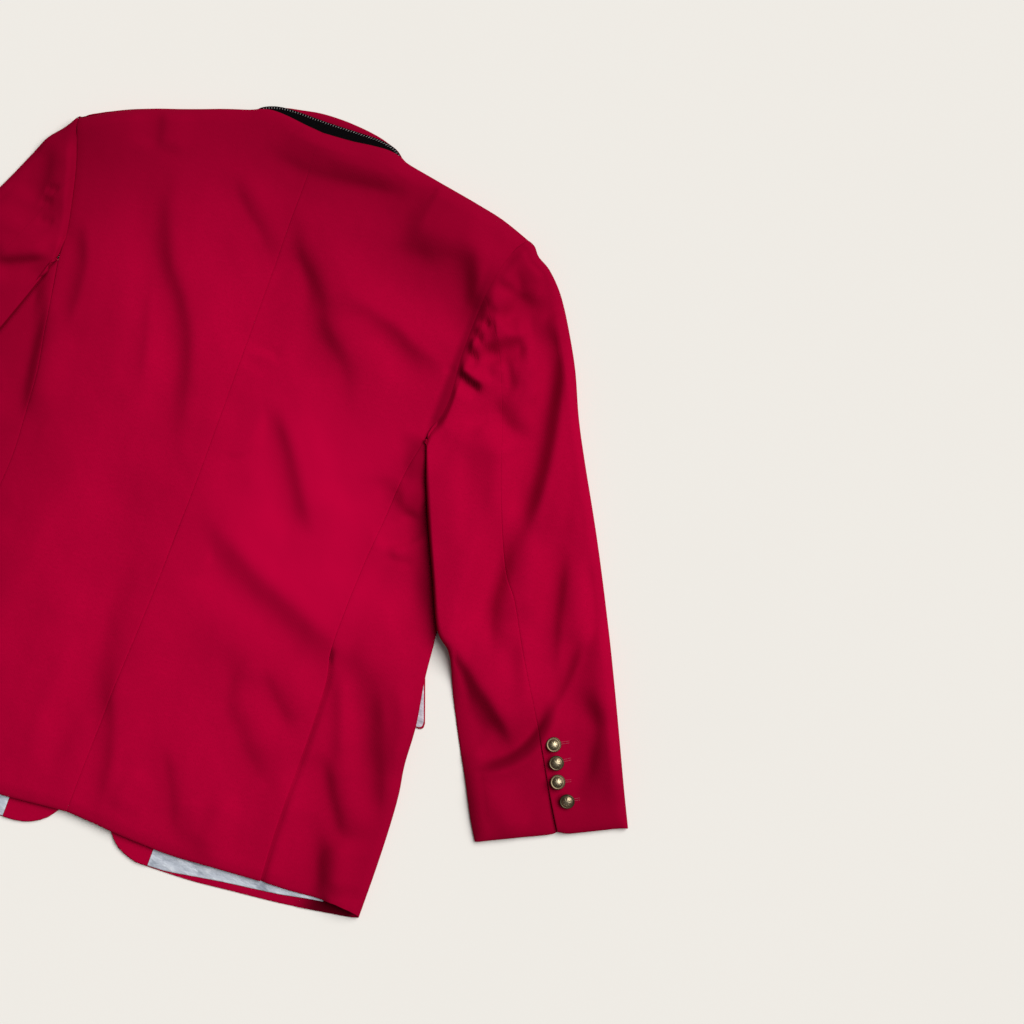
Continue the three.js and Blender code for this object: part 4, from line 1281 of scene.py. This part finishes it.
CUTS = {
    "top_collar": Flat(0.255, 0.036, 0.0086, "folded"),
    "under_collar": Flat(0.156, 0.0235, 0.0035, rests_on=("top_collar",)),
    "back_right": Flat(0.235, 0.735, 0.1498, rests_on=("front_right", "under_collar")),
    "side_right": Flat(0.180, 0.47, 0.0804, "folded", rests_on=("front_right", "flap_right")),
    "front_right": Flat(0.300, 0.760, 0.1542, rests_on=("lapel_right", "top_collar")),
    "facing_right": Flat(0.046, 0.042, 0.0019, rests_on=("front_right",)),
    "lining_right": Flat(0.183, 0.042, 0.007, rests_on=("front_right",)),
    "lapel_right": Flat(0.112, 0.185, 0.012, "folded"),
    "flap_right": Flat(0.150, 0.054, 0.0079),
    "flap_lining_right": Flat(0.150, 0.054, 0.0072, rests_on=("flap_right",)),
    "topsleeve_right": Flat(0.240, 0.600, 0.1235, "folded", rests_on=("side_right",)),
    "undersleeve_right": Flat(0.150, 0.560, 0.0575, "folded", rests_on=("side_right",)),
    "back_left": Flat(0.235, 0.735, 0.1441, rests_on=("front_left", "under_collar")),
    "side_left": Flat(0.195, 0.47, 0.0876, "folded", rests_on=("front_left", "flap_left")),
    "front_left": Flat(0.300, 0.760, 0.1642, rests_on=("lapel_left", "top_collar")),
    "facing_left": Flat(0.050, 0.042, 0.002, rests_on=("front_left",)),
    "lining_left": Flat(0.182, 0.042, 0.0069, rests_on=("front_left",)),
    "lapel_left": Flat(0.112, 0.185, 0.0146, "folded"),
    "flap_left": Flat(0.150, 0.054, 0.0079),
    "flap_lining_left": Flat(0.150, 0.054, 0.0072, rests_on=("flap_left",)),
    "topsleeve_left": Flat(0.220, 0.600, 0.0934, "folded", rests_on=("side_left",)),
    "undersleeve_left": Flat(0.140, 0.560, 0.0469, "folded", rests_on=("side_left",)),
}


@dataclass
class Sheet:
    """One piece of cloth: a surface over a grid of rows, with a thickness behind it."""

    name: str
    surface: Surface
    across: Array
    up: Array
    thick: float = CLOTH
    sign: int = 1
    slot: str = "wool"

    def build(self, material: bpy.types.Material) -> bpy.types.Object:
        """Makes the piece and puts it on the frame.

        Args:
            material: The finish of the cloth.

        Returns:
            The finished object.
        """
        mesh = bmesh.new()
        columns, rows = len(self.across) - 1, len(self.up) - 1
        bmesh.ops.create_grid(mesh, x_segments=columns, y_segments=rows, size=1.0)
        grid = np.array([vert.co[:2] for vert in mesh.verts])
        u = self.across[np.rint((grid[:, 0] + 1) / 2 * columns).astype(int)]
        v = self.up[np.rint((grid[:, 1] + 1) / 2 * rows).astype(int)]
        points = self.surface(u, v)
        points[:, 0] *= self.sign
        for vert, point in zip(mesh.verts, points * MM):
            vert.co = point
        if self.sign < 0:
            bmesh.ops.reverse_faces(mesh, faces=mesh.faces)
        for face in mesh.faces:
            face.smooth = True
        for edge in mesh.edges:
            if edge.is_boundary:
                edge.smooth = False
        made = to_object(mesh, self.name, material)
        shell = made.modifiers.new("thickness", "SOLIDIFY")
        shell.thickness, shell.offset = self.thick * MM, -1.0
        return place_on_frame(made, self.name, CUTS[self.name])


def to_object(mesh: bmesh.types.BMesh, name: str, material: bpy.types.Material) -> bpy.types.Object:
    """Turns a mesh into an object of the scene.

    Args:
        mesh: The mesh, which is used up.
        name: The object's name.
        material: Its finish.

    Returns:
        The object, at the origin.
    """
    data = bpy.data.meshes.new(name)
    mesh.to_mesh(data)
    mesh.free()
    data.materials.append(material)
    made = bpy.data.objects.new(name, data)
    bpy.context.scene.collection.objects.link(made)
    return made


def place_on_frame(
    made: bpy.types.Object, node: str | None, flat: Flat | None
) -> bpy.types.Object:
    """Says what a piece rides on and which solid it stands for.

    Args:
        made: The finished object.
        node: The solid that it stands for, if there is one.
        flat: How it was cut, if it is cloth.

    Returns:
        The same object.
    """
    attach(made, "root")
    if node:
        made.name = f"{node}_{'cloth' if flat else 'metal'}"
        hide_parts(node)
    return made


class Body(Half):
    """The panels of one half of the body: how wide and tall each is, near enough to space its rows."""

    PITCH = 2.8
    BACK_WIDE, BACK_TALL = 208.0, 726.0
    SIDE_WIDE, SIDE_TALL = 90.0, 460.0
    FRONT_WIDE, FRONT_TALL, FRONT_PITCH = 250.0, 740.0, 7.0
    STRIP_TALL = 38.0
    LAPEL_WIDE, LAPEL_TALL, LAPEL_PITCH = 95.0, 185.0, 6.0
    PUCKER_PITCH, PUCKER_HEIGHT = 9.0, 0.10

    def pucker(self, from_seam: Array, y: Array) -> Array:
        """The small, uneven puckers that stitching pulls beside a seam."""
        wave = np.sin(y * 2 * math.pi / self.PUCKER_PITCH + np.sin(y / 23))
        return self.PUCKER_HEIGHT * wave * np.exp(-from_seam / 6)

    def back(self) -> Sheet:
        """The back panel: across from the centre-back seam to the side seam, and up from the hem."""
        cut = self.cut
        patch = Patch(Line(cut.centre), self.seam, Line(cut.hem), Line(cut.shoulder))

        def surface(u: Array, v: Array) -> Array:
            """Points of its outer face."""
            out, y = patch.at(u, v)
            wide, tall = patch.span(v), patch.left.length
            from_top = np.clip((1 - v) / LIE.back_edge, 0, 1)
            arc = np.sqrt(1 - (1 - from_top) ** 2)
            shoulder = self.lift(out, y) + LAP + 2 * SEAM
            rim = lerp(LIE.neck_edge, shoulder, ease(out, cut.neck_point - 22, cut.neck_point))
            laid = self.body_top(out, y) - rolling(v * tall, 14, LIE.hem_drop)
            z = lerp(rim, resting(laid, self.bed(out, y)), arc)
            in_vent = ease(LIE.vent_top - y, 0, 8)
            from_seam = (1 - u) * wide
            z -= rounding(u * wide, 2.4, 0.55) * ease(330 - y, 0, 20)
            z -= rounding(from_seam, 2.4, 0.6) * (1 - in_vent) + rounding(from_seam, 1.6, 0.5) * in_vent
            z -= rolling(from_seam, 8, 0.8) * ease(y, 100, 130) * (1 - ease(y, 285, 315))
            z -= rounding(v * tall, 4.5, 2.2)
            return np.column_stack([out, y, z + self.pucker(from_seam, y) * (1 - in_vent)])

        across = spaced(self.BACK_WIDE, self.PITCH, LIE.centre_gap, 1 - LIE.centre_gap)
        low = spaced(self.BACK_TALL, self.PITCH, 0, 1 - LIE.back_edge)[:-6]
        shares = np.array([0.96, 0.86, 0.74, 0.62, 0.5, 0.38, 0.27, 0.18, 0.1, 0.045, 0.012, 0])
        edge = 1 - LIE.back_edge * shares
        return Sheet(f"back_{cut.name}", surface, across, np.concatenate([low, edge]), sign=self.sign)

    def side(self) -> Sheet:
        """The side body: 0 to 1 over the top, to 2 round the side fold and to 3 back underneath."""

        def surface(u: Array, v: Array) -> Array:
            """Points of its outer face."""
            y = lerp(self.side_hem.second_at(u), self.side_top.second_at(u), v)
            fold = self.fold.first_at(y)
            below = ease(LIE.vent_top - 4 - y, 0, LIE.vent_length)
            start = self.seam.first_at(y) + LIE.stitch_gap - LIE.vent_underlap * below
            bottom = self.lift(fold, y)
            radius = (self.side_face(fold - LIE.side_loft / 2, y) - bottom) / 2
            turn = fold - LIE.roll
            over = lerp(start, turn, np.clip(u, 0, 1))
            drop = rolling(v * self.SIDE_TALL, 14, LIE.hem_drop * (1 - ease(over, fold - 40, fold)))
            top = resting(self.side_face(over, y) - drop, self.bed(over, y) - 1.2 * below)
            angle = math.pi * (np.clip(u, 1, 2) - 1)
            excess = (self.side_face(turn, y) - bottom - 2 * radius) * (1 - ease(u, 1, 1.4))
            arc = bottom + radius + np.cos(angle) * radius + np.where(u < 1.5, excess * np.cos(angle), 0)
            under = lerp(turn, fold - LIE.side_under, np.clip(u, 2, 3) - 2)
            out = np.where(u <= 1, over, np.where(u <= 2, turn + np.sin(angle) * LIE.roll, under))
            z = np.where(u <= 1, top, np.where(u <= 2, arc, self.lift(under, y)))
            wide = turn - start
            upper = ease(1.5 - u, 0, 0.5)
            z -= upper * rounding(u * wide, 2.4, 0.45) * (1 - below)
            z -= upper * rounding(v * self.SIDE_TALL, 4.5, 2.2 * (1 - ease(over, fold - 50, fold - 30)))
            return np.column_stack([out, y, z + self.pucker(u * wide, y) * upper * (1 - below)])

        top = spaced(self.SIDE_WIDE, self.PITCH)[:-4]
        across = np.concatenate([top, np.linspace(0.985, 2, 22), np.linspace(2.05, 3, 14)])
        up = spaced(self.SIDE_TALL + 5, self.PITCH)
        return Sheet(f"side_{self.cut.name}", surface, across, up, sign=self.sign)

    def front(self) -> Sheet:
        """The front panel, which lies face down, with its inner face on top."""
        cut = self.cut
        seam = [row for row in self.seam.points[::12] if row[1] > self.side_start + 4]
        under = [[row[0] - LIE.side_under - LIE.stitch_gap, row[1]] for row in self.fold.points[::12]
                 if row[1] < self.side_start - 8]
        start = cut.front_hem[-1]
        right = Line([[start[0] - LIE.stitch_gap, start[1]], *under[1:], *seam, self.seam.points[-1]])
        top = Line([row for row in cut.shoulder if row[0] >= cut.neck_point])
        patch = Patch(Line(cut.front_edge), right, Line(cut.front_hem), top)

        def surface(u: Array, v: Array) -> Array:
            """Points of its outer face."""
            out, y = patch.at(u, v)
            edges = rounding(v * self.FRONT_TALL, 2.4, 0.7) + rounding(u * self.FRONT_WIDE, 2.4, 0.7)
            return np.column_stack([out, y, self.lift(out, y) + CLOTH - edges])

        across = spaced(self.FRONT_WIDE, self.FRONT_PITCH + 2, 0, 0.9999)
        up = spaced(self.FRONT_TALL, self.FRONT_PITCH, 0, 0.999)
        return Sheet(f"front_{cut.name}", surface, across, up, sign=self.sign)

    def _strip(self, kind: str, ends: tuple[float, float], set_in: Line, thick: float,
               waves: Callable[[Array, Array], Array], slot: str) -> Sheet:
        """A band inside the hem of the front.

        Args:
            kind: Its name without the side.
            ends: How far out it starts and ends.
            set_in: Rows of distance out and of how far the band lies in from the hem.
            thick: The thickness of its cloth.
            waves: How much it is rumpled at a distance out and a height up the blazer.
            slot: The slot of its material.

        Returns:
            The band.
        """
        tall = self.STRIP_TALL
        hem, edge = Line([*self.cut.front_hem, *self.cut.hem_on]), Line(self.cut.front_edge)

        def surface(u: Array, v: Array) -> Array:
            """Points of its outer face."""
            out = lerp(ends[0], ends[1], u)
            inset = set_in.second_at(out)
            y = hem.second_at(out) + inset + v * tall
            out = np.maximum(out, edge.first_at(y) + 1.0 * (1 - u))
            z = self.lift(out, y) + CLOTH + SEAM + thick + waves(out, y) * np.sin(math.pi * v) ** 0.5
            z -= rounding(v * tall, 1.6, 0.4)
            return np.column_stack([out, y, z])

        across, up = spaced(ends[1] - ends[0], 2.6), spaced(tall, 2.2)
        return Sheet(f"{kind}_{self.cut.name}", surface, across, up, thick, self.sign, slot)

    def facing(self) -> Sheet:
        """The red front facing inside the corner of the front."""
        ends = (self.cut.front_hem[0][0] + 2, self.cut.facing_end)
        even = Line([[0, 1], [400, 1]])
        return self._strip("facing", ends, even, CLOTH, lambda out, y: 0 * out, "wool")

    def lining(self) -> Sheet:
        """The satin body lining inside the hem, which lies further from the edge towards the side."""
        ends = (self.cut.facing_end + SEAM, self.cut.lining_end)
        inset = Line([[94, 1.2], [115, 2], [150, 6], [200, 8], [230, 9], [260, 11], [300, 13]])

        def waves(out: Array, y: Array) -> Array:
            """The lining's own soft rumples."""
            return 0.9 + 0.6 * np.sin(out / 7.5 + y / 11) + 0.4 * np.sin(out / 3.3 - y / 5 + 1.2)

        return self._strip("lining", ends, inset, SATIN, waves, "body_lining")

    def lapel(self) -> Sheet:
        """The lapel, turned back under the front."""
        roll, edge = Line(self.cut.lapel_roll), Line(self.cut.lapel_edge)
        low = Line([roll.points[0], edge.points[0]])
        patch = Patch(roll, edge, low, Line(self.cut.lapel_gorge))

        def surface(u: Array, v: Array) -> Array:
            """Points of its outer face."""
            out, y = patch.at(u, v)
            edges = rounding((1 - u) * self.LAPEL_WIDE, 2.0, 0.5)
            return np.column_stack([out, y, CLOTH - edges])

        across = spaced(self.LAPEL_WIDE, self.LAPEL_PITCH)
        up = spaced(self.LAPEL_TALL, self.LAPEL_PITCH)
        return Sheet(f"lapel_{self.cut.name}", surface, across, up, sign=self.sign)

    def flap(self, lining: bool) -> Sheet:
        """The pocket flap or its lining; the lower outer corner is rounded and shows past the side."""
        cut = self.cut
        margin, z, thick = (FLAP_RIM, LAP + SATIN, SATIN) if lining else (0.0, CLOTH, CLOTH)

        def surface(u: Array, v: Array) -> Array:
            """Points of its outer face."""
            end = cut.flap_end - margin
            flat_out = lerp(cut.flap_end - FLAP_LENGTH, end, u)
            past = np.clip((flat_out - (end - FLAP_CORNER)) / FLAP_CORNER, 0, 1)
            cutaway = FLAP_CORNER * (1 - np.sqrt(1 - past**2))
            y = lerp(cut.flap_low + margin + cutaway, cut.flap_low + FLAP_DEEP, v * (0.97 if lining else 1))
            out = flat_out - FLAP_RAKE * u * np.clip((y - cut.flap_low) / FLAP_DEEP, 0, 1)
            edge = rounding(v * FLAP_DEEP, 1.4, 0.5) + rounding((1 - u) * FLAP_LENGTH, 1.4, 0.5)
            return np.column_stack([out, y, z - edge * (0.6 if lining else 1)])

        corner = 1 - 0.093 * np.cos(np.linspace(0.1, math.pi / 2, 16))
        across = np.concatenate([np.linspace(0, 0.89, 24), corner])
        name = f"flap_lining_{cut.name}" if lining else f"flap_{cut.name}"
        return Sheet(name, surface, across, spaced(54, 3.0), thick, self.sign,
                     "flap_lining" if lining else "wool")


class Sleeve(Half):
    """The two pieces of one sleeve: rings of one section, cut at the elbow seam and at the inner seam."""

    PITCH = 2.8
    WIDE, TALL = 70.0, 430.0

    def ring(self, ring: Array, along: Array) -> Array:
        """Points of the sleeve.

        Args:
            ring: 0 to 1 under the sleeve to the outer fold, round it to 2, over the top to the elbow seam at
                3, on to the inner fold at 4, round it to 5 and back under to the inner seam at 6.
            along: 0 at the armhole to 1 at the cuff.

        Returns:
            The points, in millimetres.
        """
        wide = self.sleeve.span(along)

        def half_height(across: Array) -> Array:
            """Half the height of the sleeve over its bed."""
            out, y = self.sleeve.at(across, along)
            return np.maximum(LAP, (self.sleeve_top(out, y, along) - self.sleeve_bed(out, y)) / 2)

        free = ease(along, 0.49, 0.66)
        inner = np.maximum(half_height(8 / wide), LIE.inner_roll * free)
        outer = np.maximum(half_height(1 - 8 / wide), LIE.outer_roll * ease(along, 0, 0.12))
        inner_turn, outer_turn = inner / wide, 1 - outer / wide
        elbow = self.elbow.second_at(along)
        places = [
            (ring <= 1, lerp(LIE.inseam, outer_turn, ring)),
            (ring <= 2, outer_turn + outer / wide * np.sin(math.pi * (ring - 1))),
            (ring <= 3, lerp(outer_turn, elbow, ring - 2)),
            (ring <= 4, lerp(elbow, inner_turn, ring - 3)),
            (ring <= 5, inner_turn - inner / wide * np.sin(math.pi * (5 - ring))),
            (ring <= 6, lerp(inner_turn, LIE.inseam, ring - 5)),
        ]
        across = np.select([test for test, _ in places], [place for _, place in places])
        out, y = self.sleeve.at(across, along)
        out = out - 0.35 * (1 - ease(along * self.sleeve.left.length, 0, 2))
        turn = np.where(ring < 2.5, outer_turn, inner_turn)
        turning = ((ring > 1) & (ring < 2)) | ((ring > 4) & (ring < 5))
        out_level, y_level = self.sleeve.at(np.where(turning, turn, across), along)
        high = self.sleeve_top(out_level, y_level, along)
        low = self.sleeve_bed(out_level, y_level)
        angle = math.pi * np.where(ring < 2.5, np.clip(ring, 1, 2) - 1, 5 - np.clip(ring, 4, 5))
        lean = 1 + np.where(ring < 2.5, LIE.outer_sag * ease(along, 0.03, 0.15), LIE.inner_sag * free)
        z = lerp(low, high, np.where(turning, ((1 - np.cos(angle)) / 2) ** lean, (ring >= 2) & (ring <= 4)))
        return np.column_stack([out, y, z - self._edges(ring, along, elbow, outer_turn, inner_turn, wide)])

    def _edges(self, ring: Array, along: Array, elbow: Array, outer_turn: Array, inner_turn: Array,
               wide: Array) -> Array:
        """How far the cloth drops at the elbow seam, in the cuff's vent, at the armhole and at the cuff."""
        on_top = ease(ring, 1.6, 2) * ease(4.4 - ring, 0, 0.4)
        outside, inside = (3 - ring) * (outer_turn - elbow), (ring - 3) * (elbow - inner_turn)
        from_seam = np.where(ring < 3, outside, inside) * wide
        vent = ease(along, 0.79, 0.83) * (0.4 + 0.6 * ease(along, 0.83, 0.98))
        drop = rounding(from_seam, 2.2, 0.55) * (1 - vent) * (0.3 + 0.7 * ease(along, 0.18, 0.40))
        lapping = np.where(ring < 3, -2.0 * np.exp(-from_seam / 14) + rounding(from_seam, 2.0, 0.9),
                           2.6 * np.exp(-from_seam / 8))
        tall = self.sleeve.left.length
        head = rolling(along * tall, 11, 5.0) * (1 - 0.8 * ease(ring, 2.35, 2.0))
        cuff = rounding((1 - along) * tall, LIE.cuff_round, LIE.cuff_round_drop)
        cuff += rolling((1 - along) * tall, LIE.cuff_roll, LIE.cuff_drop)
        return on_top * (drop + vent * lapping + head + cuff)

    def pieces(self) -> list[Sheet]:
        """The top sleeve and the under sleeve."""
        gap = LIE.stitch_gap / self.WIDE
        rows = spaced(self.TALL, self.PITCH, gap, 1)
        near = np.array([0, 0.004, 0.010, 0.020, 0.034, 0.05])
        top = np.concatenate([
            np.linspace(gap, 0.96, 14), np.linspace(1, 2, 18), np.linspace(2.04, 2.93, 34),
            (3 - gap - near)[::-1],
        ])
        under = np.concatenate([
            3 + gap + near, np.linspace(3.07, 3.96, 34), np.linspace(4, 5, 18), np.linspace(5.1, 6 - gap, 8),
        ])
        side = self.cut.name
        return [
            Sheet(f"topsleeve_{side}", self.ring, top, rows, sign=self.sign),
            Sheet(f"undersleeve_{side}", self.ring, under, rows, sign=self.sign),
        ]

    def on_cloth(self, out: float, y: float) -> float:
        """The height of the sleeve's upper layer near the cuff."""
        start, end = self.cut.sleeve_inner[0][1], self.cut.cuff[0][1]
        along = np.clip((start - y) / (start - end), 0, 1)
        return float(self.sleeve_top(np.array([out]), np.array([y]), np.array([along]))[0])


def collar_patch(inner_rows: Rows, outer_rows: Rows) -> Patch:
    """The surface between the inner and the outer edge of a layer of the collar."""
    inner, outer = Line(inner_rows), Line(outer_rows)
    left, right = (Line([inner.points[end], outer.points[end]]) for end in (0, -1))
    return Patch(left, right, inner, outer)


def collar_sheet() -> Sheet:
    """The top collar, whose turned edge shows beyond the felt."""
    patch = collar_patch(COLLAR_INNER, COLLAR_OUTER)

    def surface(u: Array, v: Array) -> Array:
        """Points of its outer face."""
        x, y = patch.at(u, v)
        from_edge = (1 - v) * COLLAR_DEEP
        turned_edge = 0.5 * np.exp(-((from_edge - 4) / 3) ** 2)
        return np.column_stack([x, y, CLOTH + turned_edge - rounding(from_edge, 2.6, 1.2)])

    return Sheet("top_collar", surface, spaced(COLLAR_LONG, 2.8), spaced(COLLAR_DEEP, 1.8))


def felt_surface(u: Array, v: Array) -> Array:
    """The under-collar felt: across from left to right, and up from the neck to the collar's edge."""
    x, y = collar_patch(FELT_INNER, FELT_OUTER).at(u, v)
    z = LAP + FELT + 1.6 * (1 - v) - rounding((1 - v) * FELT_DEEP, 1.4, 0.5)
    for middle in (-10.0, 12.0):
        z = z - 0.5 * np.exp(-(((x - middle) / 1.6) ** 2)) * ease(v, 0.2, 0.5) * ease(1 - v, 0.1, 0.4)
    return np.column_stack([x, y, z])


def felt_sheet() -> Sheet:
    """The under-collar felt."""
    across, up = spaced(FELT_LONG, 2.2), spaced(FELT_DEEP, 1.4)
    return Sheet("under_collar", felt_surface, across, up, FELT, slot="felt")


# ---------------------------------------------------------------------------------------- metal, thread


@dataclass(frozen=True)
class Button:
    """A domed brass button: its node, radius and height in millimetres, and its lean."""

    node: str
    radius: float
    height: float
    lean: float = 0.0
    face_down: bool = False
    rounds: int = 44

    PROFILE = (
        (0.0, 0.0), (0.80, 0.0), (0.92, 0.10), (0.99, 0.28), (1.0, 0.42), (0.965, 0.56), (0.90, 0.60),
        (0.83, 0.56), (0.77, 0.52), (0.70, 0.58), (0.60, 0.70), (0.46, 0.83), (0.32, 0.92), (0.16, 0.98),
        (0.0, 1.0),
    )

    def build(self, material: bpy.types.Material) -> bpy.types.Object:
        """Turns the profile round its axis and puts the button where its solid is.

        Args:
            material: The finish of the metal.

        Returns:
            The finished object.
        """
        mesh = bmesh.new()
        points = [(share * self.radius, 0, rise * self.height) for share, rise in self.PROFILE]
        profile = [mesh.verts.new(point) for point in points]
        edges = [mesh.edges.new(pair) for pair in zip(profile[:-1], profile[1:])]
        bmesh.ops.spin(mesh, geom=[*profile, *edges], cent=(0, 0, 0), axis=(0, 0, 1), dvec=(0, 0, 0),
                       angle=2 * math.pi, steps=self.rounds, use_duplicate=False)
        bmesh.ops.remove_doubles(mesh, verts=mesh.verts, dist=1e-4)
        bmesh.ops.recalc_face_normals(mesh, faces=mesh.faces)
        layer = mesh.loops.layers.uv.new("face")
        for face in mesh.faces:
            face.smooth = True
            for loop in face.loops:
                x, y, _ = loop.vert.co
                loop[layer].uv = (0.5 + x / self.radius / 2, 0.5 + y / self.radius / 2)
        low, high = (Vector(corner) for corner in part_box(self.node))
        turn = Matrix.Rotation(math.radians(self.lean), 4, "X")
        if self.face_down:
            turn = Matrix.Rotation(math.pi, 4, "X")
        middle = (low + high) / 2 - turn @ Vector((0, 0, self.height / 2)) * MM
        for vert in mesh.verts:
            vert.co = middle + (turn @ vert.co) * MM
        made = to_object(mesh, self.node, material)
        return place_on_frame(made, self.node, None)


@dataclass(frozen=True)
class Stitches:
    """Short straight stitches of one thread, from each start to its end, in millimetres."""

    name: str
    runs: tuple[tuple[Vector, Vector], ...]
    radius: float
    slot: str

    def build(self, material: bpy.types.Material) -> bpy.types.Object:
        """Makes every stitch as a small round-ended tube in one mesh.

        Args:
            material: The finish of the thread.

        Returns:
            The finished object.
        """
        mesh = bmesh.new()
        for start, end in self.runs:
            along = end - start
            turn = along.to_track_quat("Z", "Y").to_matrix().to_4x4()
            stretch = Matrix.Diagonal((1, 1, along.length / 2 / self.radius + 1, 1))
            matrix = Matrix.Translation((start + end) / 2) @ turn @ stretch
            bmesh.ops.create_uvsphere(mesh, u_segments=8, v_segments=6, radius=self.radius, matrix=matrix)
        for vert in mesh.verts:
            vert.co *= MM
        for face in mesh.faces:
            face.smooth = True
        made = to_object(mesh, self.name, material)
        return place_on_frame(made, None, None)


def collar_zigzag() -> Stitches:
    """The whitish stitches that hold the felt to the collar, just inside the felt's edge."""
    count = 55
    share = np.linspace(0.05, 0.96, count)
    half = 0.16 * (share[1] - share[0])
    starts = felt_surface(share - half, np.full(count, 0.90))
    ends = felt_surface(share + half, np.full(count, 0.97))
    lift = Vector((0, 0, 0.12))
    runs = tuple((Vector(start) + lift, Vector(end) + lift) for start, end in zip(starts, ends))
    return Stitches("collar_zigzag", runs, 0.19, "felt")


def buttonhole_threads(sleeve: Sleeve) -> Stitches:
    """The two lines of thread of each imitation buttonhole, on the outer side of each cuff button."""
    runs = []
    for index, (out, y, _) in enumerate(sleeve.cut.buttons):
        heading = math.radians(28 + 5 * math.sin(index * 2.1))
        along = np.array([math.cos(heading), math.sin(heading)])
        across = np.array([-math.sin(heading), math.cos(heading)])
        for side in (-1.0, 1.0):
            ends = []
            for reach in (6.6, 11.5, 16.0 - 1.2 * index):
                spot = np.array([out, y]) + along * reach + across * side
                ends.append(Vector((sleeve.sign * spot[0], spot[1], sleeve.on_cloth(*spot) + 0.1)))
            runs += zip(ends[:-1], ends[1:])
    return Stitches(f"buttonholes_{sleeve.cut.name}", tuple(runs), 0.30, "wool")


# ---------------------------------------------------------------------------------------- the picture


@dataclass(frozen=True)
class Studio:
    """The pale tabletop, the light and the camera, in metres."""

    centre: tuple[float, float] = (0.311, 0.0745)
    width: float = 1.024
    lens: float = 85.0
    turn: float = 20.7
    cloth_height: float = 0.010
    key_from: tuple[float, float] = (0.606, 0.796)
    key_rise: float = 55.0
    key_spread: float = 50.0
    key_strength: float = 3.835
    fill: float = 0.12

    def build(self) -> None:
        """Sets up the floor, the light and the camera."""
        self._floor()
        self._light()
        self._camera()

    def _floor(self) -> None:
        """Lays the tabletop."""
        mesh = bmesh.new()
        bmesh.ops.create_grid(mesh, x_segments=8, y_segments=8, size=4.0)
        floor = to_object(mesh, "floor", FloorFinish().make())

    def _light(self) -> None:
        """Sets up one soft window-like light and the room's fill."""
        rise = math.radians(self.key_rise)
        level = [part * math.cos(rise) for part in self.key_from]
        towards = Vector((*level, math.sin(rise)))
        lamp = bpy.data.lights.new("key", "SUN")
        lamp.angle, lamp.energy = math.radians(self.key_spread), self.key_strength
        lamp.color = (1.0, 0.985, 0.965)
        key = bpy.data.objects.new("key", lamp)
        key.location = towards * 3
        key.rotation_euler = towards.to_track_quat("Z", "Y").to_euler()
        bpy.context.scene.collection.objects.link(key)
        world = bpy.data.worlds.new("studio")
        world.use_nodes = True
        backdrop = world.node_tree.nodes["Background"]
        backdrop.inputs["Color"].default_value = (1.0, 0.99, 0.98, 1.0)
        backdrop.inputs["Strength"].default_value = self.fill
        bpy.context.scene.world = world

    def _camera(self) -> None:
        """Sets the camera straight above."""
        lens = bpy.data.cameras.new("camera")
        lens.lens, lens.sensor_width, lens.sensor_fit = self.lens, 36.0, "HORIZONTAL"
        lens.clip_start, lens.clip_end = 0.1, 50.0
        camera = bpy.data.objects.new("camera", lens)
        away = self.width * self.lens / 36.0
        camera.location = (*self.centre, away + self.cloth_height)
        camera.rotation_euler = (0, 0, math.radians(self.turn))
        bpy.context.scene.collection.objects.link(camera)
        bpy.context.scene.camera = camera
        bpy.context.scene.view_settings.view_transform = "Standard"


# ---------------------------------------------------------------------------------------- the blazer


class Blazer:
    """All the pieces of the blazer."""

    def __init__(self) -> None:
        """Makes the finishes."""
        self.finishes = {
            "wool": WoolFinish().make(),
            "felt": FeltFinish().make(),
            "body_lining": SILVER_SATIN.make(),
            "flap_lining": LILAC_SATIN.make(),
            "brass": BrassFinish().make(),
            "white_thread": WHITE_THREAD.make(),
            "red_thread": RED_THREAD.make(),
        }

    def build(self) -> None:
        """Builds every piece."""
        sheets = [collar_sheet(), felt_sheet()]
        for cut in (RIGHT, LEFT):
            body, sleeve = Body(cut), Sleeve(cut)
            sheets += [body.back(), body.side(), body.front(), body.facing(), body.lining(), body.lapel(),
                       body.flap(lining=False), body.flap(lining=True), *sleeve.pieces()]
            buttonhole_threads(sleeve).build(self.finishes["red_thread"])
            for index, (_, _, lean) in enumerate(cut.buttons):
                name = f"cuff_button_{cut.name}_{index + 1}"
                button = Button(name, CUFF_BUTTON_RADIUS, CUFF_BUTTON_HEIGHT, lean)
                button.build(self.finishes["brass"])
                LOG.info("%s set", name)
        for sheet in sheets:
            sheet.build(self.finishes[sheet.slot])
            LOG.info("%s laid", sheet.name)
        collar_zigzag().build(self.finishes["white_thread"])
        for index in range(len(FRONT_BUTTON_YS)):
            name = f"front_button_{index + 1}"
            button = Button(name, FRONT_BUTTON_RADIUS, FRONT_BUTTON_HEIGHT, face_down=True)
            button.build(self.finishes["brass"])
            LOG.info("%s set", name)


def main() -> None:
    """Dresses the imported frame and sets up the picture."""
    logging.basicConfig(level=logging.INFO)
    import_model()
    Blazer().build()
    Studio().build()
    bpy.context.view_layer.update()


if __name__ == "__main__":
    main()
